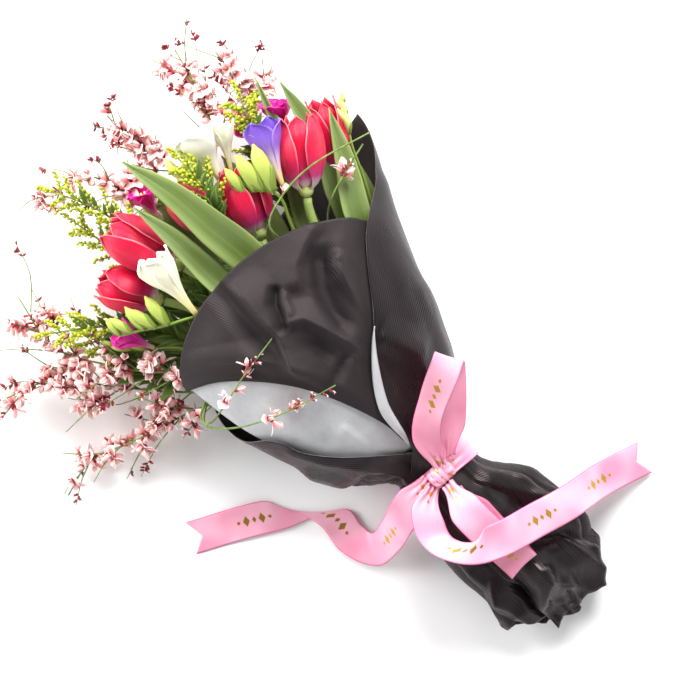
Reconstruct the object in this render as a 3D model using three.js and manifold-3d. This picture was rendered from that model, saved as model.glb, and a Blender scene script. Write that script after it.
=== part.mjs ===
// A mixed flower bouquet lying on its back: tulips, freesias, goldenrod and broom in a black paper
// wrapper, tied at the waist with a pink satin ribbon. Millimetres, +Z up. X runs from the folded
// paper foot (-X) to the blooms (+X), +Y is the left side seen along +X, and Z = 0 is the surface
// that the bunch lies on. Everything is drawn round the tie, and each finished piece is then moved
// so that the middle of the whole footprint is the origin.
import * as THREE from "three";
import { mergeVertices } from "three/addons/utils/BufferGeometryUtils.js";
import Module from "manifold-3d";

// ---------------------------------------------------------------------------- driving dimensions
const TIE_X = -108.78; // the tie's place in the part's frame
const TIE_Y = -35.94;
const CLEARANCE = 0.35; // air left between two pieces that touch
const WELD = 1e-3; // corners closer than this are one
const SCRAP_EDGE = 0.2; // shortest edge that a cut may leave

const PAPER = 0.8; // one wrapping sheet
const WAIST = 12; // half the length of the straight waist under the ribbon
const PLEATS = 7; // folds round the waist and the foot
const FOOT_END = 146; // how far the paper foot reaches behind the tie
const FOOT_NOTCH = 26; // how much shorter its left corner is
const MOUTH_RIGHT = 225; // the high right corner of the wrapper's mouth
const MOUTH_LEFT = 123; // its low left corner
const FRONT_INSET = 3.0; // depth of the front sheet under the flaps
const LINER_INSET = 5.4; // depth of the grey liner under the front sheet

const RIBBON_WIDTH = 25;
const RIBBON = 0.7; // its thickness
const CHORD = 0.15; // how much the band's flat facets come inside its oval
const BAND_LENGTH = 20; // the band's width along the bunch, gathered by the knot

const STEM_END = -112; // where the cut stems end inside the foot
const TULIP_STEM = 3.6; // stem radii
const FREESIA_STEM = 1.9;
const GOLDENROD_STEM = 1.7;
const BROOM_STEM = 1.3;
const STEM_GAP = 0.5; // air between neighbouring stems in the bundle

const PETAL = 0.9; // thickness of petals and of leaves
const LEAF = 1.0;
const GOLDENROD_BRANCHES = 5; // side branches of one goldenrod spray
const BROOM_PETAL = 10; // length of a broom flower's petals

// ---------------------------------------------------------------------------- small helpers
const wasm = await Module();
wasm.setup();
const { Manifold, Mesh } = wasm;

const UP = new THREE.Vector3(0, 0, 1);
const point = ([x, y, z]) => new THREE.Vector3(x, y, z);
const radians = THREE.MathUtils.degToRad;
const lerp = THREE.MathUtils.lerp;

/** A seeded source of numbers from 0 to 1. */
function draws(seed) {
  let state = seed;
  return () => {
    state = (state + 0x6d2b79f5) | 0;
    let mixed = Math.imul(state ^ (state >>> 15), 1 | state);
    mixed = (mixed + Math.imul(mixed ^ (mixed >>> 7), 61 | mixed)) ^ mixed;
    return ((mixed ^ (mixed >>> 14)) >>> 0) / 4294967296;
  };
}

/** A smooth curve through [x, value] pairs, level beyond its ends and at each turning point. */
function profile(pairs) {
  const last = pairs.length - 1;
  const slope = (i) => {
    const before = pairs[Math.max(i - 1, 0)];
    const after = pairs[Math.min(i + 1, last)];
    const turns = (pairs[i][1] - before[1]) * (after[1] - pairs[i][1]) <= 0;
    return turns ? 0 : (after[1] - before[1]) / (after[0] - before[0]);
  };
  return (x) => {
    if (x <= pairs[0][0]) return pairs[0][1];
    if (x >= pairs[last][0]) return pairs[last][1];
    const i = pairs.findIndex(([start]) => start > x) - 1;
    const [x0, y0] = pairs[i];
    const [x1, y1] = pairs[i + 1];
    const t = (x - x0) / (x1 - x0);
    const rise = (y1 - y0) * t * t * (3 - 2 * t);
    const bend = slope(i) * t * (1 - t) ** 2 - slope(i + 1) * t * t * (1 - t);
    return y0 + rise + (x1 - x0) * bend;
  };
}

/** Points at even steps along a smooth curve through the given ones. */
function sampled(points, steps) {
  return new THREE.CatmullRomCurve3(points, false, "centripetal").getPoints(steps);
}

/** Only the corners and triangles of a geometry, with shared corners merged. */
function welded(geometry) {
  const bare = new THREE.BufferGeometry();
  bare.setAttribute("position", geometry.getAttribute("position"));
  bare.setIndex(geometry.index);
  const merged = mergeVertices(bare, WELD);
  const index = [];
  for (let i = 0; i < merged.index.count; i += 3) {
    const [a, b, c] = [0, 1, 2].map((k) => merged.index.getX(i + k));
    if (a !== b && b !== c && c !== a) index.push(a, b, c);
  }
  merged.setIndex(index);
  return merged;
}

/** A solid that can be joined and cut, from a closed geometry. */
function solidFrom(geometry) {
  const merged = welded(geometry);
  const vertProperties = Float32Array.from(merged.getAttribute("position").array);
  const triVerts = Uint32Array.from(merged.index.array);
  return new Manifold(new Mesh({ numProp: 3, vertProperties, triVerts }));
}

/** The geometry of a solid. */
function geometryOf(solid) {
  const { vertProperties, triVerts } = solid.getMesh();
  const geometry = new THREE.BufferGeometry();
  geometry.setAttribute("position", new THREE.BufferAttribute(vertProperties, 3));
  geometry.setIndex(new THREE.BufferAttribute(triVerts, 1));
  return geometry;
}

/** The same form made fatter all round, which is what its neighbours keep clear of. */
function grown(geometry, by) {
  const merged = welded(geometry);
  const position = merged.getAttribute("position");
  const corner = (i) => new THREE.Vector3().fromBufferAttribute(position, i);
  const faces = [];
  const normals = Array.from({ length: position.count }, () => new THREE.Vector3());
  for (let i = 0; i < merged.index.count; i += 3) {
    const ids = [0, 1, 2].map((k) => merged.index.getX(i + k));
    const [a, b, c] = ids.map(corner);
    const normal = b.sub(a).cross(c.sub(a));
    ids.forEach((id) => normals[id].add(normal));
    faces.push([ids, normal.clone().normalize()]);
  }
  normals.forEach((normal) => normal.normalize());
  const flattest = new Array(position.count).fill(1);
  for (const [ids, normal] of faces) {
    for (const id of ids) flattest[id] = Math.min(flattest[id], normals[id].dot(normal));
  }
  const fatter = merged.clone();
  for (let i = 0; i < position.count; i += 1) {
    const moved = corner(i).addScaledVector(normals[i], by / Math.max(flattest[i], 0.45));
    fatter.getAttribute("position").setXYZ(i, moved.x, moved.y, moved.z);
  }
  return fatter;
}

/** A thin closed sheet: both faces of the grid at(u, v) split alike, and a rim round them. */
function sheet(columns, rows, thickness, at) {
  const grid = new THREE.PlaneGeometry(1, 1, columns, rows);
  const position = grid.getAttribute("position");
  const count = position.count;
  for (let i = 0; i < count; i += 1) {
    const middle = at(position.getX(i) + 0.5, position.getY(i) + 0.5);
    position.setXYZ(i, middle.x, middle.y, middle.z);
  }
  grid.computeVertexNormals();
  const corners = [];
  for (const side of [0.5, -0.5]) {
    for (let i = 0; i < count; i += 1) {
      const normal = new THREE.Vector3().fromBufferAttribute(grid.getAttribute("normal"), i);
      const middle = new THREE.Vector3().fromBufferAttribute(position, i);
      corners.push(...middle.addScaledVector(normal, side * thickness));
    }
  }
  const index = [];
  const edges = new Set();
  for (let i = 0; i < grid.index.count; i += 3) {
    const [a, b, c] = [0, 1, 2].map((k) => grid.index.getX(i + k));
    index.push(a, b, c, a + count, c + count, b + count);
    [[a, b], [b, c], [c, a]].forEach(([from, to]) => edges.add(`${from} ${to}`));
  }
  for (const edge of edges) {
    const [from, to] = edge.split(" ").map(Number);
    if (edges.has(`${to} ${from}`)) continue;
    index.push(to, from, from + count, to, from + count, to + count);
  }
  const solid = new THREE.BufferGeometry();
  solid.setAttribute("position", new THREE.Float32BufferAttribute(corners, 3));
  solid.setIndex(index);
  return solid;
}

/** A stem, branch or bud: rings of the given radii round a line of points. */
function limb(points, radiusAt, sides) {
  const steps = points.length - 1;
  const tangents = points.map((_, k) => {
    return points[Math.min(k + 1, steps)].clone().sub(points[Math.max(k - 1, 0)]).normalize();
  });
  const start = Math.abs(tangents[0].z) > 0.9 ? new THREE.Vector3(1, 0, 0) : UP;
  const normals = [start.clone().cross(tangents[0]).normalize()];
  for (let k = 1; k <= steps; k += 1) {
    const previous = normals[k - 1].clone();
    previous.addScaledVector(tangents[k], -previous.dot(tangents[k]));
    normals.push(previous.normalize());
  }
  const tube = new THREE.CylinderGeometry(1, 1, 1, sides, steps);
  const position = tube.getAttribute("position");
  for (let i = 0; i < position.count; i += 1) {
    const k = Math.round((position.getY(i) + 0.5) * steps);
    const radius = radiusAt(k / steps);
    const across = normals[k].clone().cross(tangents[k]);
    const ring = points[k].clone();
    ring.addScaledVector(normals[k], position.getX(i) * radius);
    ring.addScaledVector(across, position.getZ(i) * radius);
    position.setXYZ(i, ring.x, ring.y, ring.z);
  }
  return tube;
}

/** A closed bud from its root to its tip, fattest below the middle. */
function bud(root, tip, radius, sides) {
  const points = [0, 0.4, 1].map((t) => root.clone().lerp(tip, t));
  const bulge = profile([[0, 0.5], [0.5, 1], [1, 0.15]]);
  return limb(points, (t) => radius * bulge(t), sides);
}

/** A leaf or petal along a line of points, as wide as halfWidth(v) and cupped across. */
function blade(points, halfWidth, cup, facing, columns, thickness) {
  const rows = points.length - 1;
  return sheet(columns, rows, thickness, (u, v) => {
    const k = Math.round(v * rows);
    const ahead = points[Math.min(k + 1, rows)].clone().sub(points[Math.max(k - 1, 0)]).normalize();
    const side = ahead.clone().cross(facing).normalize();
    const outward = side.clone().cross(ahead);
    const across = (2 * u - 1) * halfWidth(v);
    const lift = cup * halfWidth(v) * (2 * u - 1) ** 2;
    return points[k].clone().addScaledVector(side, across).addScaledVector(outward, lift);
  });
}

// ---------------------------------------------------------------------------- placing the pieces
const bouquet = new THREE.Group();
const placed = []; // what already stands: name, its fatter copy and its box
const cores = new Map(); // main stems by node name, which nothing may cut

function joined(forms) {
  return Manifold.union(forms.map(solidFrom));
}

function shadowOf(forms) {
  return Manifold.union(forms.map((form) => solidFrom(grown(form, CLEARANCE))));
}

function boxesMeet(a, b) {
  return [0, 1, 2].every((k) => a.min[k] <= b.max[k] && b.min[k] <= a.max[k]);
}

function withBox(name, shadow) {
  return { name, shadow, box: shadow.boundingBox() };
}

/** The biggest body of a solid: a cut may leave loose scraps, which are dropped. */
function largest(solid) {
  const bodies = solid.decompose();
  return bodies.reduce((best, body) => (body.volume() > best.volume() ? body : best));
}

/** Keeps a stem for its node, and keeps every other node clear of it. */
function registerCore(name, forms) {
  cores.set(name, { forms, ...withBox(name, shadowOf(forms)) });
}

/** Whether a small repeat keeps clear of every other node's pieces. */
function isClear(name, form) {
  const solid = solidFrom(form);
  const box = solid.boundingBox();
  return [...placed, ...cores.values()].every((other) => {
    if (other.name === name || !boxesMeet(box, other.box)) return true;
    return solid.intersect(other.shadow).isEmpty();
  });
}

/** Cuts a node's forms clear of all that stands, joins them to their stem and adds the mesh. */
function place(name, look, forms) {
  let body = forms.length > 0 ? joined(forms) : null;
  const others = [...placed, ...cores.values()].filter((other) => other.name !== name);
  const box = body && body.boundingBox();
  for (const other of others) {
    if (body && boxesMeet(box, other.box)) body = body.subtract(other.shadow);
  }
  const core = cores.get(name);
  const parts = core ? [...core.forms] : [];
  if (core) body = body ? body.add(joined(core.forms)) : joined(core.forms);
  placed.push(withBox(name, shadowOf([...forms, ...parts])));
  const tidy = body.simplify(SCRAP_EDGE).translate(TIE_X, TIE_Y, 0);
  const single = largest(solidFrom(geometryOf(largest(tidy))));
  const mesh = new THREE.Mesh(geometryOf(single), new THREE.MeshStandardMaterial(look));
  mesh.name = name;
  bouquet.add(mesh);
}

const LOOKS = {
  blackPaper: { color: 0x3a3637, roughness: 0.55, metalness: 0 },
  greyPaper: { color: 0xbfbfbd, roughness: 0.5, metalness: 0 },
  satin: { color: 0xffc8df, roughness: 0.35, metalness: 0 },
  tulip: { color: 0xd9124a, roughness: 0.45, metalness: 0 },
  tulipLeaf: { color: 0x9fb868, roughness: 0.5, metalness: 0 },
  freesiaGreen: { color: 0x9cb84a, roughness: 0.5, metalness: 0 },
  freesiaWhite: { color: 0xfffcec, roughness: 0.5, metalness: 0 },
  freesiaCream: { color: 0xfff7cf, roughness: 0.5, metalness: 0 },
  freesiaPurple: { color: 0x8a62c8, roughness: 0.5, metalness: 0 },
  freesiaMagenta: { color: 0xc41a8c, roughness: 0.5, metalness: 0 },
  goldenrod: { color: 0xb3b72a, roughness: 0.6, metalness: 0 },
  broom: { color: 0xee9a9a, roughness: 0.6, metalness: 0 },
};

// ---------------------------------------------------------------------------- the wrapper
const rightSide = profile([
  [-148, -34], [-118, -53], [-53, -53], [-WAIST, -29], [WAIST, -29],
  [26, -46], [44, -63], [85, -80], [154, -107], [MOUTH_RIGHT, -141],
]);
const leftSide = profile([
  [-148, 40], [-118, 47], [-44, 44], [-WAIST, 30], [WAIST, 30],
  [36, 54], [48, 63], [85, 76], [MOUTH_LEFT, 87], [MOUTH_RIGHT, 98],
]);
const halfHeight = profile([[-148, 15], [-118, 22], [-50, 24], [-WAIST, 21], [WAIST, 21],
  [48, 36], [85, 44], [123, 49], [200, 52]]);
const axisHeight = profile([[-148, 15], [-118, 21], [-50, 26], [-WAIST, 33], [WAIST, 33],
  [48, 35], [85, 42], [123, 47], [200, 50]]);
const pleatDepth = profile([[-148, 4], [-60, 4.5], [-WAIST, 2.2], [WAIST, 2.2], [45, 1.4], [80, 0]]);
const rightFlap = profile([
  [WAIST, -35], [26, -6], [65, 6], [98, 20], [117, 30], [140, 39], [161, 49], [184, 69],
  [MOUTH_RIGHT, 90],
]);
const leftFlap = profile([[WAIST, 372], [28, 346], [54, 324], [77, 310], [104, 299], [MOUTH_LEFT, 270]]);

const middleOf = (x) => (leftSide(x) + rightSide(x)) / 2;
const halfWidthOf = (x) => (leftSide(x) - rightSide(x)) / 2;

/** A point of the wrapper's section at x, by its angle from the top towards the right side. */
function onSection(x, degrees, inset) {
  const angle = radians(degrees);
  const reach = pleatDepth(x) * (Math.cos(PLEATS * angle) - 1) - inset;
  const y = middleOf(x) - (halfWidthOf(x) + reach) * Math.sin(angle);
  const z = axisHeight(x) + (halfHeight(x) + reach) * Math.cos(angle);
  return new THREE.Vector3(x, y, Math.max(z, PAPER / 2 + inset));
}

/** The point of the wrapper's upper side over a place in plan. */
function onTop(x, y, inset) {
  const sine = (middleOf(x) - y) / (halfWidthOf(x) - inset - pleatDepth(x));
  const degrees = THREE.MathUtils.radToDeg(Math.asin(THREE.MathUtils.clamp(sine, -1, 1)));
  return onSection(x, degrees, inset);
}

/** The black sheet that goes round the bunch, from the right flap's edge to the left flap's. */
function outerSheet() {
  const foot = [1, 0.78, 0.5, 0.2, 0];
  const cone = [0, 0.08, 0.18, 0.32, 0.5, 0.74, 1];
  const rows = foot.length + cone.length - 1;
  return sheet(24, rows, PAPER, (u, v) => {
    const row = Math.round(v * rows);
    const notch = FOOT_NOTCH * Math.max(0, Math.cos(2 * Math.PI * (u - 0.77))) ** 4;
    const mouth = lerp(MOUTH_RIGHT, MOUTH_LEFT, u ** 2.8);
    const x = row < foot.length
      ? -lerp(WAIST, FOOT_END - notch, foot[row])
      : lerp(WAIST, mouth, cone[row - foot.length]);
    const under = 1.3 * THREE.MathUtils.smoothstep(u, 0.8, 0.9);
    return onSection(x, lerp(rightFlap(x), leftFlap(x), u), under);
  });
}

/** A sheet laid on the upper side of the bunch between two edges given in plan. */
function topSheet(rightEdge, leftEdge, bulge, inset, columns, rows) {
  const [right, left] = [rightEdge, leftEdge].map((edge) => {
    return sampled(edge.map(([x, y]) => new THREE.Vector3(x, y, 0)), rows);
  });
  return sheet(columns, rows, PAPER, (u, v) => {
    const row = Math.round(v * rows);
    const plan = right[row].clone().lerp(left[row], u);
    return onTop(plan.x + bulge * Math.sin(Math.PI * u) ** 0.6 * v ** 1.5, plan.y, inset);
  });
}

place("wrapper_outer", LOOKS.blackPaper, [outerSheet()]);
place("wrapper_front_sheet", LOOKS.blackPaper, [topSheet(
  [[22, -12], [60, -42], [100, -64], [157, -92]],
  [[34, 2], [56, 4], [114, 27], [156, 63], [170, 87]],
  42, FRONT_INSET, 9, 8,
)]);
place("wrapper_liner", LOOKS.greyPaper, [topSheet(
  [[40, -14], [90, -16], [130, 8], [160, 48]],
  [[40, 30], [62, 53], [92, 68], [125, 78], [172, 84]],
  0, LINER_INSET, 5, 6,
)]);

// ---------------------------------------------------------------------------- the ribbon
/** A strip of ribbon: centre and width direction are given at each point of its way. */
function strip(stations, steps) {
  const middle = sampled(stations.map(([x, y, z]) => new THREE.Vector3(x, y, z)), steps);
  const across = sampled(stations.map(([, , , x, y, z]) => new THREE.Vector3(x, y, z)), steps);
  return sheet(1, steps, RIBBON, (u, v) => {
    const k = Math.round(v * steps);
    const side = across[k].clone().normalize();
    return middle[k].clone().addScaledVector(side, (u - 0.5) * RIBBON_WIDTH);
  });
}

/** The band round the waist, drawn as an oval ring along X. */
function waistBand() {
  const inner = CLEARANCE + PAPER / 2 + CHORD;
  const oval = (extra) => [halfWidthOf(0) + inner + extra, halfHeight(0) + inner + extra];
  const ring = new THREE.Shape();
  ring.absellipse(0, 0, ...oval(RIBBON), 0, 2 * Math.PI);
  const hole = new THREE.Path();
  hole.absellipse(0, 0, ...oval(0), 0, 2 * Math.PI);
  ring.holes.push(hole);
  const options = { depth: BAND_LENGTH, bevelEnabled: false, curveSegments: 14 };
  const band = new THREE.ExtrudeGeometry(ring, options);
  band.applyMatrix4(new THREE.Matrix4().set(0, 0, 1, 0, 1, 0, 0, 0, 0, 1, 0, 0, 0, 0, 0, 1));
  band.translate(-BAND_LENGTH / 2, middleOf(0), axisHeight(0));
  return mergeVertices(band);
}

const KNOT = [0, 0, axisHeight(0) + halfHeight(0) + 7.5];
const knot = new THREE.IcosahedronGeometry(1, 1);
knot.scale(8, 10, 5.6);
knot.translate(...KNOT);

place("ribbon_band", LOOKS.satin, [waistBand()]);
place("ribbon_knot", LOOKS.satin, [mergeVertices(knot)]);
place("ribbon_upper_loop", LOOKS.satin, [strip([
  [2, -3, 64, -0.3, -1, 0], [24, -10, 76, -0.9, -0.4, -0.2], [40, -28, 92, -0.95, 0.05, -0.3],
  [52, -52, 100, -0.8, -0.3, -0.4], [56, -62, 94, -0.6, -0.6, -0.5], [46, -54, 84, -0.5, -0.7, -0.5],
  [26, -36, 74, -0.5, -0.6, -0.6], [5, -12, 66, -0.4, -0.8, -0.4],
], 15)]);
place("ribbon_lower_loop", LOOKS.satin, [strip([
  [-8, 2, 63, 0, 1, 0], [-32, 6, 71, 0, 1, 0.1], [-60, 6, 68, 0, 1, 0], [-82, 5, 62, 0, 1, 0],
  [-89, 5, 56, 0, 1, 0], [-80, 4, 51.5, 0, 1, 0], [-48, 3, 53.5, 0, 1, 0], [-16, 1, 57.6, 0, 1, 0],
], 15)]);
place("ribbon_right_tail", LOOKS.satin, [strip([
  [-3, 10, 61, 0.7, 0.6, 0.3], [-10, 24, 64, 0.9, 0.4, 0], [-28, 35, 66, 0.7, 0.7, 0],
  [-46, 30, 75, 0.3, 1, 0.1], [-60, 6, 77, -0.9, 0.4, 0], [-72, -26, 62, -0.95, 0.3, 0],
  [-80, -48, 50, -0.95, 0.3, 0], [-90, -80, 20, -0.94, 0.34, 0], [-104, -116, 2.2, -0.94, 0.34, 0],
], 17)]);
place("ribbon_left_tail", LOOKS.satin, [strip([
  [3, 10, 60, -1, 0, 0.2], [1, 26, 60, -1, 0.1, 0], [-4, 44, 47, -1, 0.1, 0],
  [-9, 60, 26, -1, 0.2, 0], [-9, 76, 7, -0.9, 0.6, 0], [8, 82, 2.2, -0.1, 1, 0],
  [28, 80, 1.6, 0.3, 1, 0], [44, 90, 1.2, 0.8, 0.8, 0], [66, 118, 1, 0.9, -0.45, 0],
  [93, 167, 1, 0.9, -0.45, 0],
], 20)]);

// ---------------------------------------------------------------------------- stems in the bundle
// Each stem by its node: where it leaves the bundle, and the points of its own way from there.
const STEMS = [
  { node: "tulip_1_stem", radius: TULIP_STEM, neck: [200, -67, 80], way: [[205, -70.7, 81]] },
  { node: "tulip_2_stem", radius: TULIP_STEM, neck: [202, -25, 72], way: [[207, -27.2, 73.3]] },
  { node: "tulip_3_stem", radius: TULIP_STEM, neck: [228, 24, 64], way: [[233, 25.5, 65]] },
  { node: "tulip_4_stem", radius: TULIP_STEM, neck: [222, 50, 55], way: [[227, 52.8, 56]] },
  { node: "tulip_5_stem", radius: TULIP_STEM, neck: [194, -94, 54], way: [[199, -96.9, 55.2]] },
  { node: "tulip_6_stem", radius: TULIP_STEM, neck: [230, -8, 42], way: [[235, -8, 42.8]] },
  { node: "freesia_white_stem", radius: FREESIA_STEM, neck: [238, -30, 74],
    way: [[252, -31, 78], [264, -24, 85], [276, -18, 89]] },
  { node: "freesia_purple_stem", radius: FREESIA_STEM, neck: [201, -50, 86],
    way: [[216, -57, 95], [224, -56, 98], [232, -49, 99], [237, -42, 99]] },
  { node: "freesia_cream_stem", radius: FREESIA_STEM, neck: [196, 36, 80],
    way: [[204, 48, 84], [212, 63, 84], [222, 78, 82], [230, 91, 80]] },
  { node: "freesia_right_stem", radius: FREESIA_STEM, neck: [236, -82, 46],
    way: [[247, -86, 52], [257, -91, 54]] },
  { node: "freesia_middle_stem", radius: FREESIA_STEM, neck: [262, 18, 32],
    way: [[272, 16, 38], [281, 13, 42]] },
  { node: "freesia_left_stem", radius: FREESIA_STEM, neck: [196, 70, 44],
    way: [[206, 80, 48], [217, 92, 50], [229, 101, 48]] },
  { node: "freesia_edge_stem", radius: FREESIA_STEM, neck: [192, -112, 62],
    way: [[210, -120, 68], [224, -129, 71], [234, -136, 74]] },
  { node: "goldenrod_1", radius: GOLDENROD_STEM, neck: [262, 34, 40],
    way: [[284, 36, 50], [306, 40, 58], [322, 46, 61], [336, 53, 62]] },
  { node: "goldenrod_2", radius: GOLDENROD_STEM, neck: [244, 50, 26],
    way: [[262, 52, 36], [284, 54, 44], [308, 58, 47]] },
  { node: "goldenrod_3", radius: GOLDENROD_STEM, neck: [214, 72, 32],
    way: [[232, 84, 38], [250, 102, 50], [266, 124, 58]] },
  { node: "goldenrod_4", radius: GOLDENROD_STEM, neck: [186, 84, 26],
    way: [[204, 98, 32], [228, 106, 38], [250, 112, 40]] },
  { node: "goldenrod_5", radius: GOLDENROD_STEM, neck: [244, -70, 62],
    way: [[258, -74, 70], [272, -80, 72], [286, -86, 74]] },
  { node: "goldenrod_6", radius: GOLDENROD_STEM, neck: [230, -10, 84],
    way: [[246, -20, 92], [264, -26, 97], [284, -26, 98]] },
  { node: "broom_1", radius: BROOM_STEM, neck: [262, -50, 44],
    way: [[290, -62, 48], [320, -72, 50], [350, -80, 50]] },
  { node: "broom_2", radius: BROOM_STEM, neck: [256, -76, 30],
    way: [[282, -90, 36], [304, -100, 42], [326, -102, 48]] },
  { node: "broom_3", radius: BROOM_STEM, neck: [280, -20, 34],
    way: [[306, -16, 46], [330, -12, 53], [350, -12, 56]] },
  { node: "broom_4", radius: BROOM_STEM, neck: [270, 0, 20],
    way: [[290, 12, 34], [310, 20, 44], [332, 30, 50], [342, 70, 54]] },
  { node: "broom_5", radius: BROOM_STEM, neck: [150, 70, 34],
    way: [[182, 100, 34], [216, 128, 30], [246, 152, 28], [262, 188, 24]] },
  { node: "broom_6", radius: BROOM_STEM, neck: [138, 60, 37],
    way: [[156, 92, 31], [172, 140, 18], [186, 180, 9], [180, 208, 6]] },
  { node: "broom_7", radius: BROOM_STEM, neck: [166, 58, 44],
    way: [[194, 92, 50], [226, 116, 44], [262, 134, 42], [304, 126, 48]],
    forks: [
      [[150, 92, 64], [141, 87, 90], [147, 52, 94], [152, 16, 100]],
      [[146, 94, 56], [128, 81, 82], [111, 50, 93], [98, 8, 94]],
    ] },
  { node: "broom_8", radius: BROOM_STEM, neck: [188, -38, 88],
    way: [[209, -38, 101], [217, -62, 107], [217, -87, 108], [205, -133, 103]] },
  { node: "broom_9", radius: BROOM_STEM, neck: [186, -72, 80],
    way: [[193, -84, 92], [199, -106, 98], [203, -124, 99]] },
];

const STATIONS = [STEM_END, -WAIST, WAIST, 34, 60, 92, 130, 170, 210]; // places along X
const BETWEEN = [0, 0.25, 0.5, 0.75]; // where two stems are compared from one station to the next
const BEFORE_NECK = 14; // length over which a stem already points along its way
const BUNDLE_SPREAD = 0.12; // the bundle's spread at the waist, as a share of the flowers' spread
const FLOWER_HEIGHT = 52; // the middle of the flowers above the surface

/** The room that the stems have inside the wrapper at x. */
function roomAt(x) {
  const sheets = x > 2 * WAIST ? LINER_INSET : 1.3;
  const depth = sheets + PAPER + CLEARANCE + 2 * pleatDepth(x);
  return { y: middleOf(x), z: axisHeight(x), wide: halfWidthOf(x) - depth, high: halfHeight(x) - depth };
}

/** Keeps a stem's spot inside the wrapper. */
function keepInside(spot, radius) {
  const room = roomAt(spot.x);
  const dy = (spot.y - room.y) / (room.wide - radius);
  const dz = (spot.z - room.z) / (room.high - radius);
  const out = Math.max(1, Math.hypot(dy, dz));
  spot.y = room.y + (spot.y - room.y) / out;
  spot.z = room.z + (spot.z - room.z) / out;
}

/** Pushes two stems apart where they are too near, from a spot to the next on each. */
function pushApart(a, b, k, next, t) {
  const apart = a.spots[k].clone().lerp(a.spots[next], t);
  apart.sub(b.spots[k].clone().lerp(b.spots[next], t));
  const lack = (a.radius + b.radius + STEM_GAP - apart.length()) / 2;
  if (lack <= 0) return;
  const push = apart.setLength(lack / ((1 - t) ** 2 + t * t));
  a.spots[k].addScaledVector(push, 1 - t);
  b.spots[k].addScaledVector(push, t - 1);
  a.spots[next].addScaledVector(push, t);
  b.spots[next].addScaledVector(push, -t);
}

/** Settles stems side by side; pull draws them together, to pack the bundle tightly. */
function settle(ropes, rounds, pull) {
  for (let round = 0; round < rounds; round += 1) {
    for (const { spots } of ropes) {
      spots.forEach((spot) => spot.lerp(new THREE.Vector3(spot.x, roomAt(spot.x).y, roomAt(spot.x).z), pull));
    }
    for (let i = 0; i < ropes.length; i += 1) {
      for (let j = 0; j < i; j += 1) {
        const shared = Math.min(ropes[i].spots.length, ropes[j].spots.length);
        for (let k = 0; k < shared; k += 1) {
          const steps = k + 1 < shared ? BETWEEN : [0];
          steps.forEach((t) => pushApart(ropes[i], ropes[j], k, Math.min(k + 1, shared - 1), t));
        }
      }
    }
    for (const { spots, radius } of ropes) spots.forEach((spot) => keepInside(spot, radius));
  }
}

/** Runs every stem from its cut end through the waist to its neck, none touching another. */
function routeStems() {
  const bundle = STEMS.map(({ neck, radius }) => {
    const lift = (neck[2] - FLOWER_HEIGHT) * BUNDLE_SPREAD;
    return { radius, spots: [new THREE.Vector3(0, neck[1] * BUNDLE_SPREAD, axisHeight(0) + lift)] };
  });
  settle(bundle, 400, 0.01);
  const ropes = STEMS.map(({ neck, way, radius }, i) => {
    const ahead = point(way[0]).sub(point(neck)).normalize();
    const aim = point(neck).addScaledVector(ahead, -BEFORE_NECK);
    const [{ y, z }] = bundle[i].spots;
    const spots = STATIONS.filter((x) => x < neck[0] - BEFORE_NECK / 2).map((x) => {
      const flare = x < 0 ? 1 + (0.2 * x) / STEM_END : 1;
      const height = axisHeight(Math.min(x, 0)) + (z - axisHeight(0)) * flare;
      const t = THREE.MathUtils.clamp((x - WAIST) / (aim.x - WAIST), 0, 1);
      return new THREE.Vector3(x, lerp(y * flare, aim.y, t), lerp(height, aim.z, t));
    });
    return { radius, spots };
  });
  settle(ropes, 150, 0);
  return ropes.map(({ spots }, i) => [...spots, point(STEMS[i].neck)]);
}

const stems = new Map(routeStems().map((route, i) => [STEMS[i].node, { ...STEMS[i], route }]));

for (const { node, radius, neck, way, route, forks = [] } of stems.values()) {
  const isShort = way.length === 1;
  const beyond = sampled([neck, ...way].map(point), isShort ? 1 : 2 * way.length).slice(1);
  const whole = [...route, ...beyond];
  const thin = isShort ? 0.85 : 0.45;
  const sides = { [TULIP_STEM]: 6, [BROOM_STEM]: 3 }[radius] ?? 4;
  const forms = [limb(whole, (t) => radius * lerp(1, thin, t), sides)];
  for (const fork of forks) {
    const points = sampled([route.at(-1), ...fork.map(point)], 8);
    forms.push(limb(points, (t) => lerp(1, 0.55, t), 3));
  }
  registerCore(node, forms);
}

// ---------------------------------------------------------------------------- tulips
const petalSpan = profile([[0, 0.5], [0.3, 0.95], [0.6, 1], [0.85, 0.7], [1, 0.16]]);
const petalRadius = profile([[0, 0.24], [0.25, 0.78], [0.5, 1], [0.75, 0.94], [1, 0.6]]);

/** Petals in two whorls round an axis. */
function whorls(base, axis, petals, { radius, turn, inward, span, shape, width }) {
  const along = axis.clone().normalize();
  const side = along.clone().cross(UP).normalize();
  const over = side.clone().cross(along);
  return Array.from({ length: petals }, (_, i) => {
    const step = inward * (i % 2);
    return sheet(2, 4, PETAL, (u, t) => {
      const angle = turn + (i * 2 * Math.PI) / petals + (2 * u - 1) * radians(span) * width(t);
      const middle = base.clone().addScaledVector(axis, t);
      const out = radius * shape(t) - step;
      middle.addScaledVector(side, Math.cos(angle) * out);
      return middle.addScaledVector(over, Math.sin(angle) * out);
    });
  });
}

/** A closed tulip of six petals on its receptacle. */
function tulipBloom(base, axis, radius, turn) {
  const petals = whorls(base, axis, 6, {
    radius, turn, inward: 0.19 * radius, span: 53, shape: petalRadius, width: petalSpan,
  });
  const receptacle = new THREE.IcosahedronGeometry(radius * 0.34, 0);
  receptacle.translate(...base.clone().addScaledVector(axis.clone().normalize(), 2.2));
  return [...petals, receptacle];
}

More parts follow.
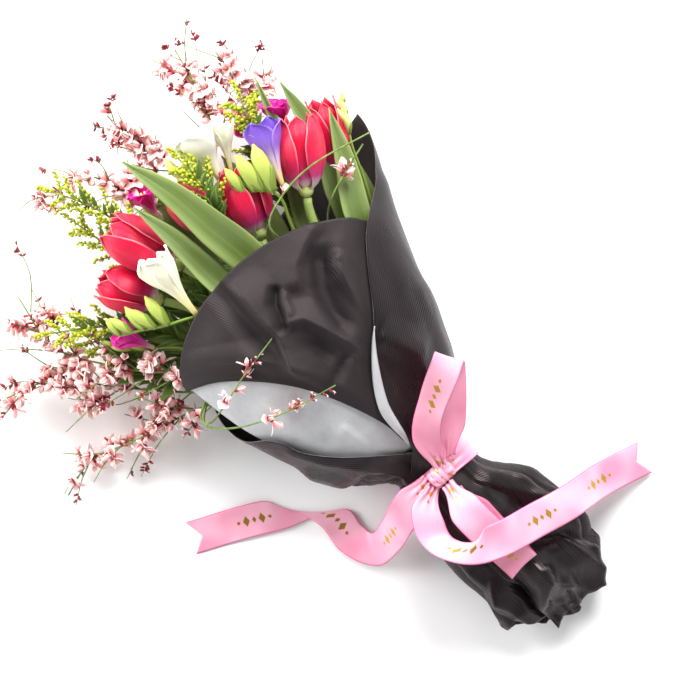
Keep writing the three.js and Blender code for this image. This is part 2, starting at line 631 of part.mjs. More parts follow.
/** A tulip leaf from its root on the stem through the given points to its tip. */
function tulipLeaf(route, { from, way, half, roll, cup }) {
  const root = route.findLast((spot) => spot.x <= from);
  const points = sampled([root.clone(), ...way.map(point)], 6);
  const width = profile([[0, 0.34], [0.25, 0.7], [0.55, 1], [0.8, 0.72], [1, 0.06]]);
  const facing = new THREE.Vector3(0, Math.sin(radians(roll)), Math.cos(radians(roll)));
  return blade(points, (v) => half * width(v), cup, facing, 2, LEAF);
}

const TULIPS = [
  { node: "tulip_1", axis: [44, -33, 8], radius: 17, turn: 0.5, leaves: [
    { from: 110, half: 10.5, roll: -25, cup: 0.25,
      way: [[179, -84, 62], [195, -90, 66], [222, -103, 72], [248, -109, 78], [276, -115, 82]] },
    { from: 110, half: 6, roll: 0, cup: 0.3,
      way: [[196, -58, 62], [244, -88, 68], [268, -96, 72], [292, -105, 76]] },
  ] },
  { node: "tulip_2", axis: [46, -20, 12], radius: 18.5, turn: 0.1, leaves: [
    { from: 100, half: 13, roll: 8, cup: 0.2,
      way: [[178, -12, 82], [210, -12, 91], [236, -9, 100], [270, -6, 104], [312, 3, 101]] },
  ] },
  { node: "tulip_3", axis: [55, 17, 10], radius: 18, turn: 0.3, leaves: [
    { from: 125, half: 10, roll: -10, cup: 0.25,
      way: [[180, 12, 80], [214, 15, 88], [252, 16, 95], [285, 20, 97]] },
  ] },
  { node: "tulip_4", axis: [40, 22, 8], radius: 16, turn: 0.8, leaves: [
    { from: 125, half: 11, roll: 200, cup: 0.25, way: [[186, 34, 26], [230, 34, 18], [282, 40, 24]] },
  ] },
  { node: "tulip_5", axis: [49, -28, 12], radius: 16, turn: 0.2, leaves: [
    { from: 110, half: 10, roll: -20, cup: 0.25,
      way: [[160, -82, 74], [176, -89, 80], [204, -107, 82], [239, -126, 83]] },
    { from: 100, half: 11, roll: -50, cup: 0.3, way: [[150, -88, 46], [172, -101, 48], [206, -118, 42]] },
  ] },
  { node: "tulip_6", axis: [46, 0, 8], radius: 15, turn: 0.7, leaves: [
    { from: 125, half: 11, roll: 165, cup: 0.25, way: [[180, -50, 18], [220, -70, 15], [262, -86, 20]] },
  ] },
];

for (const { node, axis, radius, turn, leaves } of TULIPS) {
  const stem = stems.get(`${node}_stem`);
  const base = point(stem.way[0]).addScaledVector(point(axis).normalize(), radius * 0.34 - 2.2);
  place(`${node}_bloom`, LOOKS.tulip, tulipBloom(base, point(axis), radius, turn));
  place(`${node}_stem`, LOOKS.tulipLeaf, leaves.map((leaf) => tulipLeaf(stem.route, leaf)));
}

// ---------------------------------------------------------------------------- freesias
// Rings of a bloom from its foot over the rim to the bottom of its cup: place along the axis,
// radius, and how much the petals' edge reaches forward and outward there.
const FUNNEL = [
  [0, 0.14, 0], [0.3, 0.26, 0], [0.58, 0.72, 0.25], [0.8, 0.96, 1], [0.8, 0.88, 1],
  [0.58, 0.62, 0.25], [0.4, 0.02, 0],
];

/** A freesia bloom: a slim tube that opens into a cup, with the given facets to each petal. */
function freesiaBloom(base, tip, radius, petals, facets) {
  const axis = tip.clone().sub(base);
  const along = axis.clone().normalize();
  const side = along.clone().cross(UP).normalize();
  const over = along.clone().cross(side);
  const sides = petals * facets;
  const cup = new THREE.CylinderGeometry(1, 1, 1, sides, FUNNEL.length - 1);
  const position = cup.getAttribute("position");
  for (let i = 0; i < position.count; i += 1) {
    const [at, size, edge] = FUNNEL[Math.round((0.5 - position.getY(i)) * (FUNNEL.length - 1))];
    const angle = Math.atan2(position.getZ(i), position.getX(i));
    const lobe = edge * Math.cos(petals * angle);
    const out = Math.hypot(position.getX(i), position.getZ(i)) * radius * (size + 0.1 * lobe);
    const spot = base.clone().addScaledVector(axis, at + 0.2 * lobe);
    spot.addScaledVector(side, out * Math.cos(angle)).addScaledVector(over, out * Math.sin(angle));
    position.setXYZ(i, spot.x, spot.y, spot.z);
  }
  return [cup];
}

/** Buds that stand in a row on a freesia's bent tip, smaller towards its end. */
function freesiaBuds(way, { count, length, lean }) {
  const line = new THREE.CatmullRomCurve3(way.map(point));
  return Array.from({ length: count }, (_, i) => {
    const t = count === 1 ? 1 : i / (count - 1);
    const size = length * lerp(1, 0.62, t);
    const fan = new THREE.Vector3(0, (i % 2 ? 0.16 : -0.16), 0.1);
    const root = line.getPoint(lerp(0.3, 1, t));
    const tip = root.clone().addScaledVector(point(lean).add(fan).normalize(), size);
    return bud(root, tip, size * 0.19, 4);
  });
}

const FREESIAS = [
  { node: "freesia_white", count: 3, length: 30, lean: [1, 0.1, 0.12] },
  { node: "freesia_purple", count: 4, length: 36, lean: [1, -0.25, 0.14] },
  { node: "freesia_cream", count: 5, length: 26, lean: [1, 0.05, 0.05] },
  { node: "freesia_right", count: 2, length: 16, lean: [0.8, -0.4, 0.2] },
  { node: "freesia_middle", count: 2, length: 16, lean: [1, 0.2, 0.2] },
  { node: "freesia_left", count: 3, length: 18, lean: [0.8, 0.5, 0.1] },
  { node: "freesia_edge", count: 5, length: 17, lean: [0.8, -0.35, 0.3] },
];

const { freesiaWhite, freesiaCream, freesiaPurple, freesiaMagenta } = LOOKS;
const BLOOMS = [
  { name: "white", look: freesiaWhite, base: [255, -36, 78], tip: [295, -47, 85], radius: 16, petals: 6 },
  { name: "white_side", look: freesiaCream, base: [256, -46, 80], tip: [286, -66, 88], radius: 8,
    petals: 5 },
  { name: "purple", look: freesiaPurple, base: [222, -64, 93], tip: [265, -84, 93], radius: 12.5, petals: 6 },
  { name: "cream", look: freesiaCream, base: [202, 42, 85.4], tip: [253, 37, 97], radius: 13, petals: 6 },
  { name: "magenta_1", look: freesiaMagenta, base: [250, -92, 58], tip: [271, -104, 66], radius: 10.5,
    petals: 5 },
  { name: "magenta_2", look: freesiaMagenta, base: [250.3, -86, 54.2], tip: [280, -75, 61], radius: 9,
    petals: 5 },
  { name: "magenta_3", look: freesiaMagenta, base: [275, 13.5, 42.2], tip: [298, 9, 54], radius: 10,
    petals: 5 },
  { name: "magenta_4", look: freesiaMagenta, base: [209, 82, 54], tip: [234, 92, 64], radius: 10, petals: 5 },
];

for (const buds of FREESIAS) {
  const node = `${buds.node}_stem`;
  place(node, LOOKS.freesiaGreen, freesiaBuds(stems.get(node).way, buds));
}
for (const { name, look, base, tip, radius, petals } of BLOOMS) {
  const facets = radius > 12 ? 3 : 2;
  place(`freesia_${name}_bloom`, look, freesiaBloom(point(base), point(tip), radius, petals, facets));
}

// ---------------------------------------------------------------------------- goldenrod
const BEADS = [[0, 0.7], [0.38, 2.3], [0.54, 1], [0.7, 2.4], [0.84, 1], [1, 1.9]]; // place and radius

/** Short branches along a goldenrod's way, each thickened into a row of flower heads. */
function goldenrodSpray(node, way, seed) {
  const draw = draws(seed);
  const line = new THREE.CatmullRomCurve3(way.map(point));
  const forms = [];
  for (let tries = 0; tries < 60 && forms.length < GOLDENROD_BRANCHES; tries += 1) {
    const t = forms.length / GOLDENROD_BRANCHES;
    const [root, ahead] = [line.getPoint(t), line.getTangent(t)];
    const side = ahead.clone().cross(UP).normalize().multiplyScalar(forms.length % 2 ? 1 : -1);
    const out = ahead.clone().multiplyScalar(lerp(0.5, 1, draw()));
    out.addScaledVector(side, lerp(0.2, 0.9, draw())).addScaledVector(UP, lerp(-0.3, 0.6, draw()));
    const length = lerp(23, 12, t) * lerp(0.85, 1.1, draw());
    const rings = BEADS.map(([at]) => root.clone().addScaledVector(out.clone().normalize(), length * at));
    const branch = limb(rings, (s) => BEADS[Math.round(s * (BEADS.length - 1))][1], 3);
    if (isClear(node, branch)) forms.push(branch);
  }
  return forms;
}

// ---------------------------------------------------------------------------- broom
/** A pea flower of broom: one faceted body from its root to two parted petal tips. */
function peaFlower(root, out, opening) {
  const side = opening.clone().cross(out).normalize();
  const at = (along, apart, across) => {
    return root.clone().addScaledVector(out, along * BROOM_PETAL)
      .addScaledVector(opening, apart * BROOM_PETAL).addScaledVector(side, across * BROOM_PETAL);
  };
  const corners = [
    at(-0.12, 0, 0), at(0.95, 0.36, 0), at(0.42, 0.05, 0), at(0.8, -0.3, 0),
    at(0.5, 0.1, 0.2), at(0.5, 0.1, -0.2), at(0.3, -0.16, 0),
  ];
  const faces = [[0, 5, 1], [0, 1, 4], [1, 5, 2], [1, 2, 4], [2, 5, 3], [2, 3, 4], [3, 5, 6], [3, 6, 4],
    [6, 5, 0], [6, 0, 4]];
  const flower = new THREE.BufferGeometry();
  flower.setAttribute("position", new THREE.Float32BufferAttribute(corners.flatMap((c) => [...c]), 3));
  flower.setIndex(faces.flat());
  return flower;
}

/** Side twigs of a broom spray with their pea flowers, none of them crossing a neighbour. */
function broomSpray(node, way, { seed, twigs, flowers, reach }) {
  const draw = draws(seed);
  const line = new THREE.CatmullRomCurve3(way.map(point));
  const forms = [];
  const carriers = [(t) => line.getPoint(lerp(0.05, 0.85, t))];
  for (let tries = 0; tries < 40 && forms.length < twigs; tries += 1) {
    const t = lerp(0.05, 0.75, forms.length / Math.max(twigs - 1, 1));
    const [root, ahead] = [line.getPoint(t), line.getTangent(t)];
    const side = ahead.clone().cross(UP).normalize().multiplyScalar(forms.length % 2 ? 1 : -1);
    const out = ahead.clone().addScaledVector(side, lerp(0.4, 0.9, draw()));
    out.addScaledVector(UP, lerp(-0.2, 0.4, draw())).normalize();
    const tip = root.clone().addScaledVector(out, reach * lerp(0.7, 1.2, draw()));
    tip.z = Math.max(tip.z, 3);
    const twig = limb([root, tip], (s) => lerp(0.8, 0.55, s), 3);
    if (!isClear(node, twig)) continue;
    forms.push(twig);
    carriers.push((s) => root.clone().lerp(tip, lerp(0.25, 0.95, s)));
  }
  const roots = [];
  for (let tries = 0; tries < 6 * flowers && roots.length < flowers; tries += 1) {
    const root = carriers[roots.length % carriers.length](draw());
    const angle = 2 * Math.PI * draw();
    const around = new THREE.Vector3(-0.2, Math.cos(angle), Math.sin(angle));
    const out = new THREE.Vector3(0.9, 0, 0.2).addScaledVector(around, 0.8).normalize();
    const flower = peaFlower(root, out, around.addScaledVector(out, -around.dot(out)).normalize());
    flower.computeBoundingBox();
    const crowded = roots.some((other) => other.distanceTo(root) < BROOM_PETAL / 2);
    if (crowded || flower.boundingBox.min.z < 0.5 || !isClear(node, flower)) continue;
    roots.push(root);
    forms.push(flower);
  }
  return forms;
}

const BROOMS = [
  { node: "broom_1", seed: 11, twigs: 4, flowers: 7, reach: 30 },
  { node: "broom_2", seed: 12, twigs: 4, flowers: 6, reach: 28 },
  { node: "broom_3", seed: 48, twigs: 3, flowers: 5, reach: 24 },
  { node: "broom_4", seed: 64, twigs: 3, flowers: 4, reach: 22 },
  { node: "broom_5", seed: 52, twigs: 4, flowers: 7, reach: 34 },
  { node: "broom_6", seed: 60, twigs: 4, flowers: 6, reach: 30 },
  { node: "broom_7", seed: 73, twigs: 4, flowers: 6, reach: 30 },
  { node: "broom_8", seed: 18, twigs: 0, flowers: 0, reach: 0 },
  { node: "broom_9", seed: 92, twigs: 0, flowers: 2, reach: 0 },
];

for (let i = 1; i <= 6; i += 1) {
  const node = `goldenrod_${i}`;
  place(node, LOOKS.goldenrod, goldenrodSpray(node, stems.get(node).way, 20 + i));
}
for (const broom of BROOMS) {
  place(broom.node, LOOKS.broom, broomSpray(broom.node, stems.get(broom.node).way, broom));
}

export default bouquet;
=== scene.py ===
"""The looks of a mixed flower bouquet in black paper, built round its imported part.

Everything is drawn round the tie in millimetres, as the part's source does: X runs from the folded
paper foot to the blooms, +Y is the left side, and Z = 0 is the surface that the bunch lies on.
Each piece is then moved to the part's own frame, in metres.
"""

import logging
import math
import random
from collections.abc import Callable, Iterable, Sequence
from dataclasses import dataclass
from enum import Enum
from functools import partial

import bmesh
import bpy
from bmesh.types import BMFace, BMVert
from bpy.types import ID, Material, Mesh, Node, NodeSocket, NodeTree, Object
from mathutils import Matrix, Vector, noise

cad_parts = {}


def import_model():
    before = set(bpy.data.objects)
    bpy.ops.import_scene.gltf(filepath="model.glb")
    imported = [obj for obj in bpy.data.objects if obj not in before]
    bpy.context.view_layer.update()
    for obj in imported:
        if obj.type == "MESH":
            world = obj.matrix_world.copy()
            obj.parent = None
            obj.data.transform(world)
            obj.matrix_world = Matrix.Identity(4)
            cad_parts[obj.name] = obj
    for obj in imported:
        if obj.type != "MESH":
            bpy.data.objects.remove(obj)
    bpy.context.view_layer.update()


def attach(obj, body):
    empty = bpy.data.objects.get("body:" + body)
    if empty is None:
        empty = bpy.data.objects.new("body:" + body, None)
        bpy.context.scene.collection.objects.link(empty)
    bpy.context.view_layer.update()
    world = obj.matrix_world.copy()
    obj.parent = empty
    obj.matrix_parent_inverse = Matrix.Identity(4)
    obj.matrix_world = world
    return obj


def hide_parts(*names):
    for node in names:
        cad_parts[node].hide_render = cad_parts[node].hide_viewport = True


log = logging.getLogger("bouquet")

MM = 0.001  # metres in a millimetre
TIE = Vector((-108.78, -35.94, 0.0))  # the tie's place in the part's frame
UP = Vector((0.0, 0.0, 1.0))
HIGHEST = Vector((361.0, 211.0, 108.0))  # corners of the room that the part fills, round the tie
LOWEST = Vector((-146.0, -140.0, 0.6))
ONE_CORNER = 1e-4  # mm, under which two corners are one
COLOUR_RESULT = 2  # which output of a mix node holds its colour

Point = tuple[float, float, float]
Spot = list[float]  # a point that is moved while the stems settle
Rope = tuple[float, list[Spot]]  # a stem's radius and its spots
Routes = dict[str, list[Vector]]  # each stem's line by its node, as far as its neck
At = Callable[[float, float], Vector]
Radius = Callable[[float], float]


# --- numbers and lines
def mix(a: float, b: float, t: float) -> float:
    """The number at share t of the way from a to b."""
    return a + (b - a) * t


def clamp(value: float, low: float = 0.0, high: float = 1.0) -> float:
    """The value kept between low and high."""
    return max(low, min(high, value))


def ease(value: float, low: float, high: float) -> float:
    """A smooth step from 0 at low to 1 at high."""
    t = clamp((value - low) / (high - low))
    return t * t * (3.0 - 2.0 * t)


class Profile:
    """A smooth curve through (place, value) pairs, level beyond its ends and where it turns."""

    def __init__(self, *pairs: tuple[float, float]) -> None:
        """Keeps the pairs, which stand in order of place."""
        self.pairs = pairs
        self.slopes = [self._slope(i) for i in range(len(pairs))]

    def _slope(self, i: int) -> float:
        """The curve's slope at pair i: none at a turning point, or else its neighbours' secant."""
        before = self.pairs[max(i - 1, 0)]
        after = self.pairs[min(i + 1, len(self.pairs) - 1)]
        value = self.pairs[i][1]
        if (value - before[1]) * (after[1] - value) <= 0:
            return 0.0
        return (after[1] - before[1]) / (after[0] - before[0])

    def __call__(self, place: float) -> float:
        """Reads the curve.

        Args:
            place: where to read it.

        Returns:
            The curve's value there.
        """
        if place <= self.pairs[0][0]:
            return self.pairs[0][1]
        if place >= self.pairs[-1][0]:
            return self.pairs[-1][1]
        i = next(k for k, pair in enumerate(self.pairs) if pair[0] > place) - 1
        (x0, y0), (x1, y1) = self.pairs[i], self.pairs[i + 1]
        t = (place - x0) / (x1 - x0)
        rise = (y1 - y0) * t * t * (3.0 - 2.0 * t)
        bend = self.slopes[i] * t * (1.0 - t) ** 2 - self.slopes[i + 1] * t * t * (1.0 - t)
        return y0 + rise + (x1 - x0) * bend


class Way:
    """A smooth line through points, read by its knots or by the share of its length."""

    FINE = 14  # steps between two points, by which its length is measured

    def __init__(self, points: Iterable[Sequence[float]]) -> None:
        """Keeps the points and measures the line."""
        self.points = [Vector(point) for point in points]
        self.last = len(self.points) - 1
        steps = self.last * self.FINE
        fine = [self.knotted(k / self.FINE) for k in range(steps + 1)]
        self.lengths = [0.0]
        for a, b in zip(fine, fine[1:]):
            self.lengths.append(self.lengths[-1] + (b - a).length)
        self.length = self.lengths[-1]

    def knotted(self, knot: float) -> Vector:
        """The point at a knot number: 0 is the first given point, 1 the second, and so on."""
        i = min(int(knot), self.last - 1)
        t = knot - i
        p1, p2 = self.points[i], self.points[i + 1]
        p0 = self.points[i - 1] if i > 0 else 2.0 * p1 - p2
        p3 = self.points[i + 2] if i + 2 <= self.last else 2.0 * p2 - p1
        d1 = math.sqrt((p2 - p1).length) or 1.0
        d0 = math.sqrt((p1 - p0).length) or d1
        d2 = math.sqrt((p3 - p2).length) or d1
        start = ((p1 - p0) / d0 - (p2 - p0) / (d0 + d1) + (p2 - p1) / d1) * d1
        end = ((p2 - p1) / d1 - (p3 - p1) / (d1 + d2) + (p3 - p2) / d2) * d1
        square, cube = t * t, t * t * t
        curve = (2.0 * cube - 3.0 * square + 1.0) * p1 + (3.0 * square - 2.0 * cube) * p2
        return curve + (cube - 2.0 * square + t) * start + (cube - square) * end

    def knot(self, share: float) -> float:
        """The knot number at a share of the line's length."""
        target = clamp(share) * self.length
        low, high = 0, len(self.lengths) - 1
        while high - low > 1:
            middle = (low + high) // 2
            low, high = (middle, high) if self.lengths[middle] <= target else (low, middle)
        step = self.lengths[high] - self.lengths[low] or 1.0
        return (low + (target - self.lengths[low]) / step) / self.FINE

    def at(self, share: float) -> Vector:
        """The point at a share of the line's length."""
        return self.knotted(self.knot(share))

    def ahead(self, share: float) -> Vector:
        """The direction of the line there."""
        low, high = clamp(share - 0.01), clamp(share + 0.01)
        return (self.at(high) - self.at(low)).normalized()

    def samples(self, steps: int) -> list[Vector]:
        """Points at even steps along the line."""
        return [self.at(k / steps) for k in range(steps + 1)]


def across(direction: Vector, facing: Vector = UP) -> Vector:
    """A unit vector square to direction and to facing."""
    side = direction.cross(facing)
    return side.normalized() if side.length > 1e-6 else Vector((0.0, 1.0, 0.0))


def turned(side: Vector, over: Vector, angle: float) -> Vector:
    """The direction at an angle from side towards over."""
    return side * math.cos(angle) + over * math.sin(angle)


def carried(points: Sequence[Vector]) -> list[tuple[Vector, Vector]]:
    """Carries a pair of square directions along a line without twisting it.

    Args:
        points: the line's points.

    Returns:
        The side and the over direction at each point.
    """
    last = len(points) - 1
    pairs: list[tuple[Vector, Vector]] = []
    for k in range(last + 1):
        along = (points[min(k + 1, last)] - points[max(k - 1, 0)]).normalized()
        if pairs:
            side = (pairs[-1][0] - along * pairs[-1][0].dot(along)).normalized()
        else:
            side = across(along, UP if abs(along.z) < 0.9 else Vector((1.0, 0.0, 0.0)))
        pairs.append((side, along.cross(side)))
    return pairs


def facing_frame(place: Vector, along: Vector, over: Vector, size: float = 1.0) -> Matrix:
    """A matrix that stands a small model at place.

    Args:
        place: where its root goes.
        along: where its own +X points.
        over: roughly where its own +Z points.
        size: how much it is scaled.

    Returns:
        The matrix.
    """
    x = along.normalized()
    y = -across(x, over)
    z = x.cross(y)
    facing = Matrix((x, y, z)).transposed().to_4x4()
    return Matrix.Translation(place) @ facing @ Matrix.Scale(size, 4)


# --- drawing meshes
def added(name: str, data: ID) -> Object:
    """Adds an object to the scene.

    Args:
        name: its name.
        data: its mesh, light or camera.

    Returns:
        The object, at the origin.
    """
    thing = bpy.data.objects.new(name, data)
    bpy.context.scene.collection.objects.link(thing)
    return thing


class Draft:
    """A mesh being drawn round the tie, in millimetres, with a UV map and a finish for each face."""

    def __init__(self) -> None:
        """Starts empty."""
        self.mesh = bmesh.new()
        self.mesh.loops.layers.uv.new("UVMap")

    def join(self, corners: Sequence[BMVert]) -> None:
        """Makes corners that stand at one place one corner."""
        bmesh.ops.remove_doubles(self.mesh, verts=corners, dist=ONE_CORNER)

    def grid(
        self, columns: int, rows: int, at: At, size: tuple[float, float] = (1.0, 1.0), finish: int = 0
    ) -> tuple[list[BMVert], list[BMFace]]:
        """Adds a grid of faces whose corners stand at at(u, v), u and v running from 0 to 1.

        Args:
            columns: faces along u.
            rows: faces along v.
            at: gives each corner's place.
            size: the UV map's size along u and v.
            finish: the number of the faces' finish.

        Returns:
            The new corners and faces.
        """
        layer = self.mesh.loops.layers.uv["UVMap"]
        made = bmesh.ops.create_grid(self.mesh, x_segments=columns, y_segments=rows, size=0.5)
        spots = {vert: (vert.co.x + 0.5, vert.co.y + 0.5) for vert in made["verts"]}
        faces = list(dict.fromkeys(face for vert in spots for face in vert.link_faces))
        for face in faces:
            face.smooth = True
            face.material_index = finish
            for loop in face.loops:
                u, v = spots[loop.vert]
                loop[layer].uv = (u * size[0], v * size[1])
        for vert, (u, v) in spots.items():
            vert.co = at(u, v)
        return list(spots), faces

    def sheet(
        self,
        columns: int,
        rows: int,
        at: At,
        thickness: float,
        size: tuple[float, float] = (1.0, 1.0),
        finish: int = 0,
        reverse: int | None = None,
        rim: int | None = None,
        ring: bool = False,
    ) -> None:
        """Adds a thin closed sheet: a grid, the same grid behind it, and a rim round them.

        Args:
            columns: faces along u.
            rows: faces along v.
            at: gives the middle of the sheet.
            thickness: how thick it is.
            size: the UV map's size along u and v.
            finish: the number of the face side's finish.
            reverse: the number of the back's finish, if it has its own.
            rim: the number of the cut edge's finish, if it has its own.
            ring: whether its first and last rows meet.
        """
        corners, faces = self.grid(columns, rows, at, size, finish)
        if ring:
            self.join(corners)
        for face in faces:
            face.normal_update()
        inner = list(dict.fromkeys(vert for face in faces for vert in face.verts))
        for vert in inner:
            vert.normal_update()
        made = bmesh.ops.extrude_face_region(self.mesh, geom=faces, use_keep_orig=True)["geom"]
        outer = [item for item in made if isinstance(item, BMVert)]
        front = [item for item in made if isinstance(item, BMFace)]
        for face in faces:
            face.normal_update()
        for vert in (*outer, *inner):
            vert.co += vert.normal * thickness / 2.0
        sides = {*front, *faces}
        for face in dict.fromkeys(face for vert in inner for face in vert.link_faces):
            face.smooth = True
            if face not in sides and rim is not None:
                face.material_index = rim
        for face in faces:
            face.material_index = finish if reverse is None else reverse

    def tube(self, points: Sequence[Vector], radius: Radius, sides: int, finish: int = 0) -> None:
        """Adds a closed round stem along points.

        Args:
            points: its middle line.
            radius: its radius at each share of the line.
            sides: how many faces go round it.
            finish: the number of its finish.
        """
        frames = carried(points)
        rows, last = len(points) + 1, len(points) - 1
        length = sum((b - a).length for a, b in zip(points, points[1:]))

        def at(u: float, v: float) -> Vector:
            """A corner of the stem's skin: its ends are closed to a point."""
            row = round(v * rows)
            k = min(max(row - 1, 0), last)
            reach = 0.0 if row in (0, rows) else radius(k / last)
            side, over = frames[k]
            angle = math.tau * u
            return points[k] + turned(side, over, angle) * reach

        corners, _ = self.grid(sides, rows, at, (1.0, length), finish)
        self.join(corners)

    def copy(self, model: Mesh, place: Matrix) -> None:
        """Adds a copy of a small model at a place."""
        placed = model.copy()
        placed.transform(place)
        self.mesh.from_mesh(placed)
        bpy.data.meshes.remove(placed)

    def model(self, name: str) -> Mesh:
        """Turns the draft into a small model, in millimetres, to be copied into others."""
        mesh = bpy.data.meshes.new(name)
        self.mesh.to_mesh(mesh)
        self.mesh.free()
        return mesh

    def piece(self, name: str, finishes: Sequence[Material], node: str, slot: str) -> Object:
        """Turns the draft into a piece in the part's frame, which rides on it and stands for a node.

        Args:
            name: the piece's name.
            finishes: its materials, in the order of their numbers.
            node: the node that it stands for.
            slot: the slot of the record that its finish belongs to; it is not used.

        Returns:
            The new object, which stands at the origin with its place in its mesh.
        """
        for vert in self.mesh.verts:
            vert.co = (vert.co + TIE) * MM
        mesh = self.model(name)
        for finish in finishes:
            mesh.materials.append(finish)
        piece = added(name, mesh)
        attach(piece, "root")
        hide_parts(node)
        return piece


# --- finishes
Inputs = dict[str | int, object]
Add = Callable[..., Node]  # add_node with its tree already given


def linear(colour: str) -> tuple[float, float, float, float]:
    """Turns an sRGB hex value to linear light.

    Args:
        colour: such as "#f90754".

    Returns:
        Red, green, blue and alpha.
    """
    channels = [int(colour[i : i + 2], 16) / 255.0 for i in (1, 3, 5)]
    light = [c / 12.92 if c <= 0.04045 else ((c + 0.055) / 1.055) ** 2.4 for c in channels]
    return (light[0], light[1], light[2], 1.0)


def fill(tree: NodeTree, node: Node, inputs: Inputs) -> None:
    """Fills a node's inputs.

    Args:
        tree: the material's nodes.
        node: the node.
        inputs: by name or number, a value, a socket, or a node whose result is linked.
    """
    for name, value in inputs.items():
        if isinstance(value, Node):
            value = value.outputs[COLOUR_RESULT if value.bl_idname == "ShaderNodeMix" else 0]
        if isinstance(value, NodeSocket):
            tree.links.new(value, node.inputs[name])
        else:
            node.inputs[name].default_value = value


def add_node(
    tree: NodeTree,
    kind: str,
    inputs: Inputs | None = None,
    stops: Sequence[tuple[float, str]] = (),
    **settings: object,
) -> Node:
    """Adds a node with its settings, values and links.

    Args:
        tree: the material's nodes.
        kind: the node's type, without its "ShaderNode".
        inputs: what goes into it, as fill takes it.
        stops: places and colours of a colour ramp.
        settings: the node's own settings.

    Returns:
        The new node.
    """
    node = tree.nodes.new("ShaderNode" + kind)
    for name, value in settings.items():
        setattr(node, name, value)
    fill(tree, node, inputs or {})
    if stops:
        marks = node.color_ramp.elements
        marks.remove(marks[-1])
        marks[0].position, marks[0].color = stops[0][0], linear(stops[0][1])
        for place, colour in stops[1:]:
            marks.new(place).color = linear(colour)
    return node


@dataclass(frozen=True)
class Finish:
    """A surface that pieces are dressed in. Each kind says what goes into its shader."""

    name: str

    def made(self) -> Material:
        """Makes the material.

        Returns:
            The material, with this finish drawn on its shader.
        """
        material = bpy.data.materials.new(self.name)
        material.use_nodes = True
        tree = material.node_tree
        fill(tree, tree.nodes["Principled BSDF"], self.inputs(partial(add_node, tree)))
        return material

    def inputs(self, add: Add) -> Inputs:
        """What goes into the shader; every kind has its own."""
        raise NotImplementedError

    def share(self, add: Add) -> tuple[NodeSocket, NodeSocket]:
        """The piece's own UV map as two numbers: across it and along it."""
        parts = add("SeparateXYZ", {0: add("UVMap", uv_map="UVMap")})
        return parts.outputs[0], parts.outputs[1]

    def place(self, add: Add) -> NodeSocket:
        """The place on the piece, in metres."""
        return add("TexCoord").outputs["Object"]

    def ribs(self, add: Add, place: NodeSocket, pitch: float) -> Node:
        """Draws round ribs, from 0 to 1 high.

        Args:
            add: adds a node to the material.
            place: where on the piece, in millimetres.
            pitch: from rib to rib.

        Returns:
            The node that gives their height.
        """
        turn = add("Math", {0: place, 1: math.tau / pitch}, operation="MULTIPLY")
        wave = add("Math", {0: turn}, operation="SINE")
        return add("MapRange", {0: wave, 1: -1.0, 2: 1.0})

    def from_middle(self, add: Add, over: NodeSocket, middle: float) -> Node:
        """How far a place across the piece is from its middle."""
        off = add("Math", {0: over, 1: middle}, operation="SUBTRACT")
        return add("Math", {0: off}, operation="ABSOLUTE")

    def veined(self, add: Add, count: float, stretch: float, detail: float) -> Node:
        """Draws veins that run along a petal or a leaf on its UV map.

        Args:
            add: adds a node to the material.
            count: how many go across it.
            stretch: how often they change along it.
            detail: how finely they are broken up.

        Returns:
            The node that gives their strength.
        """
        spread = add("Mapping", {0: add("UVMap", uv_map="UVMap"), 3: (count, stretch, 1.0)})
        return add("TexNoise", {"Vector": spread, "Scale": 1.0, "Detail": detail})

    def bumps(self, add: Add, *heights: tuple[Node, float]) -> Node:
        """Draws a chain of bumps.

        Args:
            add: adds a node to the material.
            heights: what gives each bump's height from 0 to 1, and how many millimetres that is.

        Returns:
            The node that gives the surface's direction.
        """
        before: Inputs = {}
        for height, millimetres in heights:
            bump = add("Bump", {"Height": height, "Distance": millimetres * MM, **before})
            before = {"Normal": bump}
        return bump


@dataclass(frozen=True)
class RibbedPaper(Finish):
    """Coated wrapping paper, embossed with fine ribs: a soft satin gloss that streaks along them."""

    light: str = "#191617"
    dark: str = "#0b090a"
    gloss: float = 0.27
    pitch: float = 1.9  # mm from rib to rib; real ribs are about 1.4 mm, drawn wider so that they show

    def inputs(self, add: Add) -> Inputs:
        """Ribs that follow the sheet, and a faint clouding of its coat."""
        over, _ = self.share(add)
        rib = self.ribs(add, over, self.pitch)
        spot = self.place(add)
        cloud = add("TexNoise", {"Vector": spot, "Scale": 38.0, "Detail": 4.0})
        grain = add("TexNoise", {"Vector": spot, "Scale": 900.0, "Detail": 2.0})
        return {
            "Base Color": add("ValToRGB", {0: cloud}, stops=((0.3, self.dark), (0.75, self.light))),
            "Roughness": add("MapRange", {0: cloud, 3: self.gloss - 0.06, 4: self.gloss + 0.1}),
            "IOR": 1.5,
            "Specular Tint": linear("#fae8eb"),
            "Normal": self.bumps(add, (rib, 0.12), (grain, 0.02)),
        }


@dataclass(frozen=True)
class PearlPaper(Finish):
    """Pearlescent grey paper: smooth, with a faint metallic glow and soft wrinkles."""

    light: str = "#c6c7c9"
    dark: str = "#a9aaad"

    def inputs(self, add: Add) -> Inputs:
        """A fine pearly mottle and long soft wrinkles."""
        spot = self.place(add)
        mottle = add("TexNoise", {"Vector": spot, "Scale": 520.0, "Detail": 3.0})
        soft = add("TexNoise", {"Vector": spot, "Scale": 45.0, "Detail": 2.0})
        both = add("Math", {0: mottle, 1: 0.35, 2: soft}, operation="MULTIPLY_ADD")
        return {
            "Base Color": add("ValToRGB", {0: both}, stops=((0.4, self.dark), (0.95, self.light))),
            "Roughness": add("MapRange", {0: mottle, 3: 0.46, 4: 0.6}),
            "Metallic": 0.2,
            "Normal": self.bumps(add, (soft, 0.25), (mottle, 0.03)),
        }


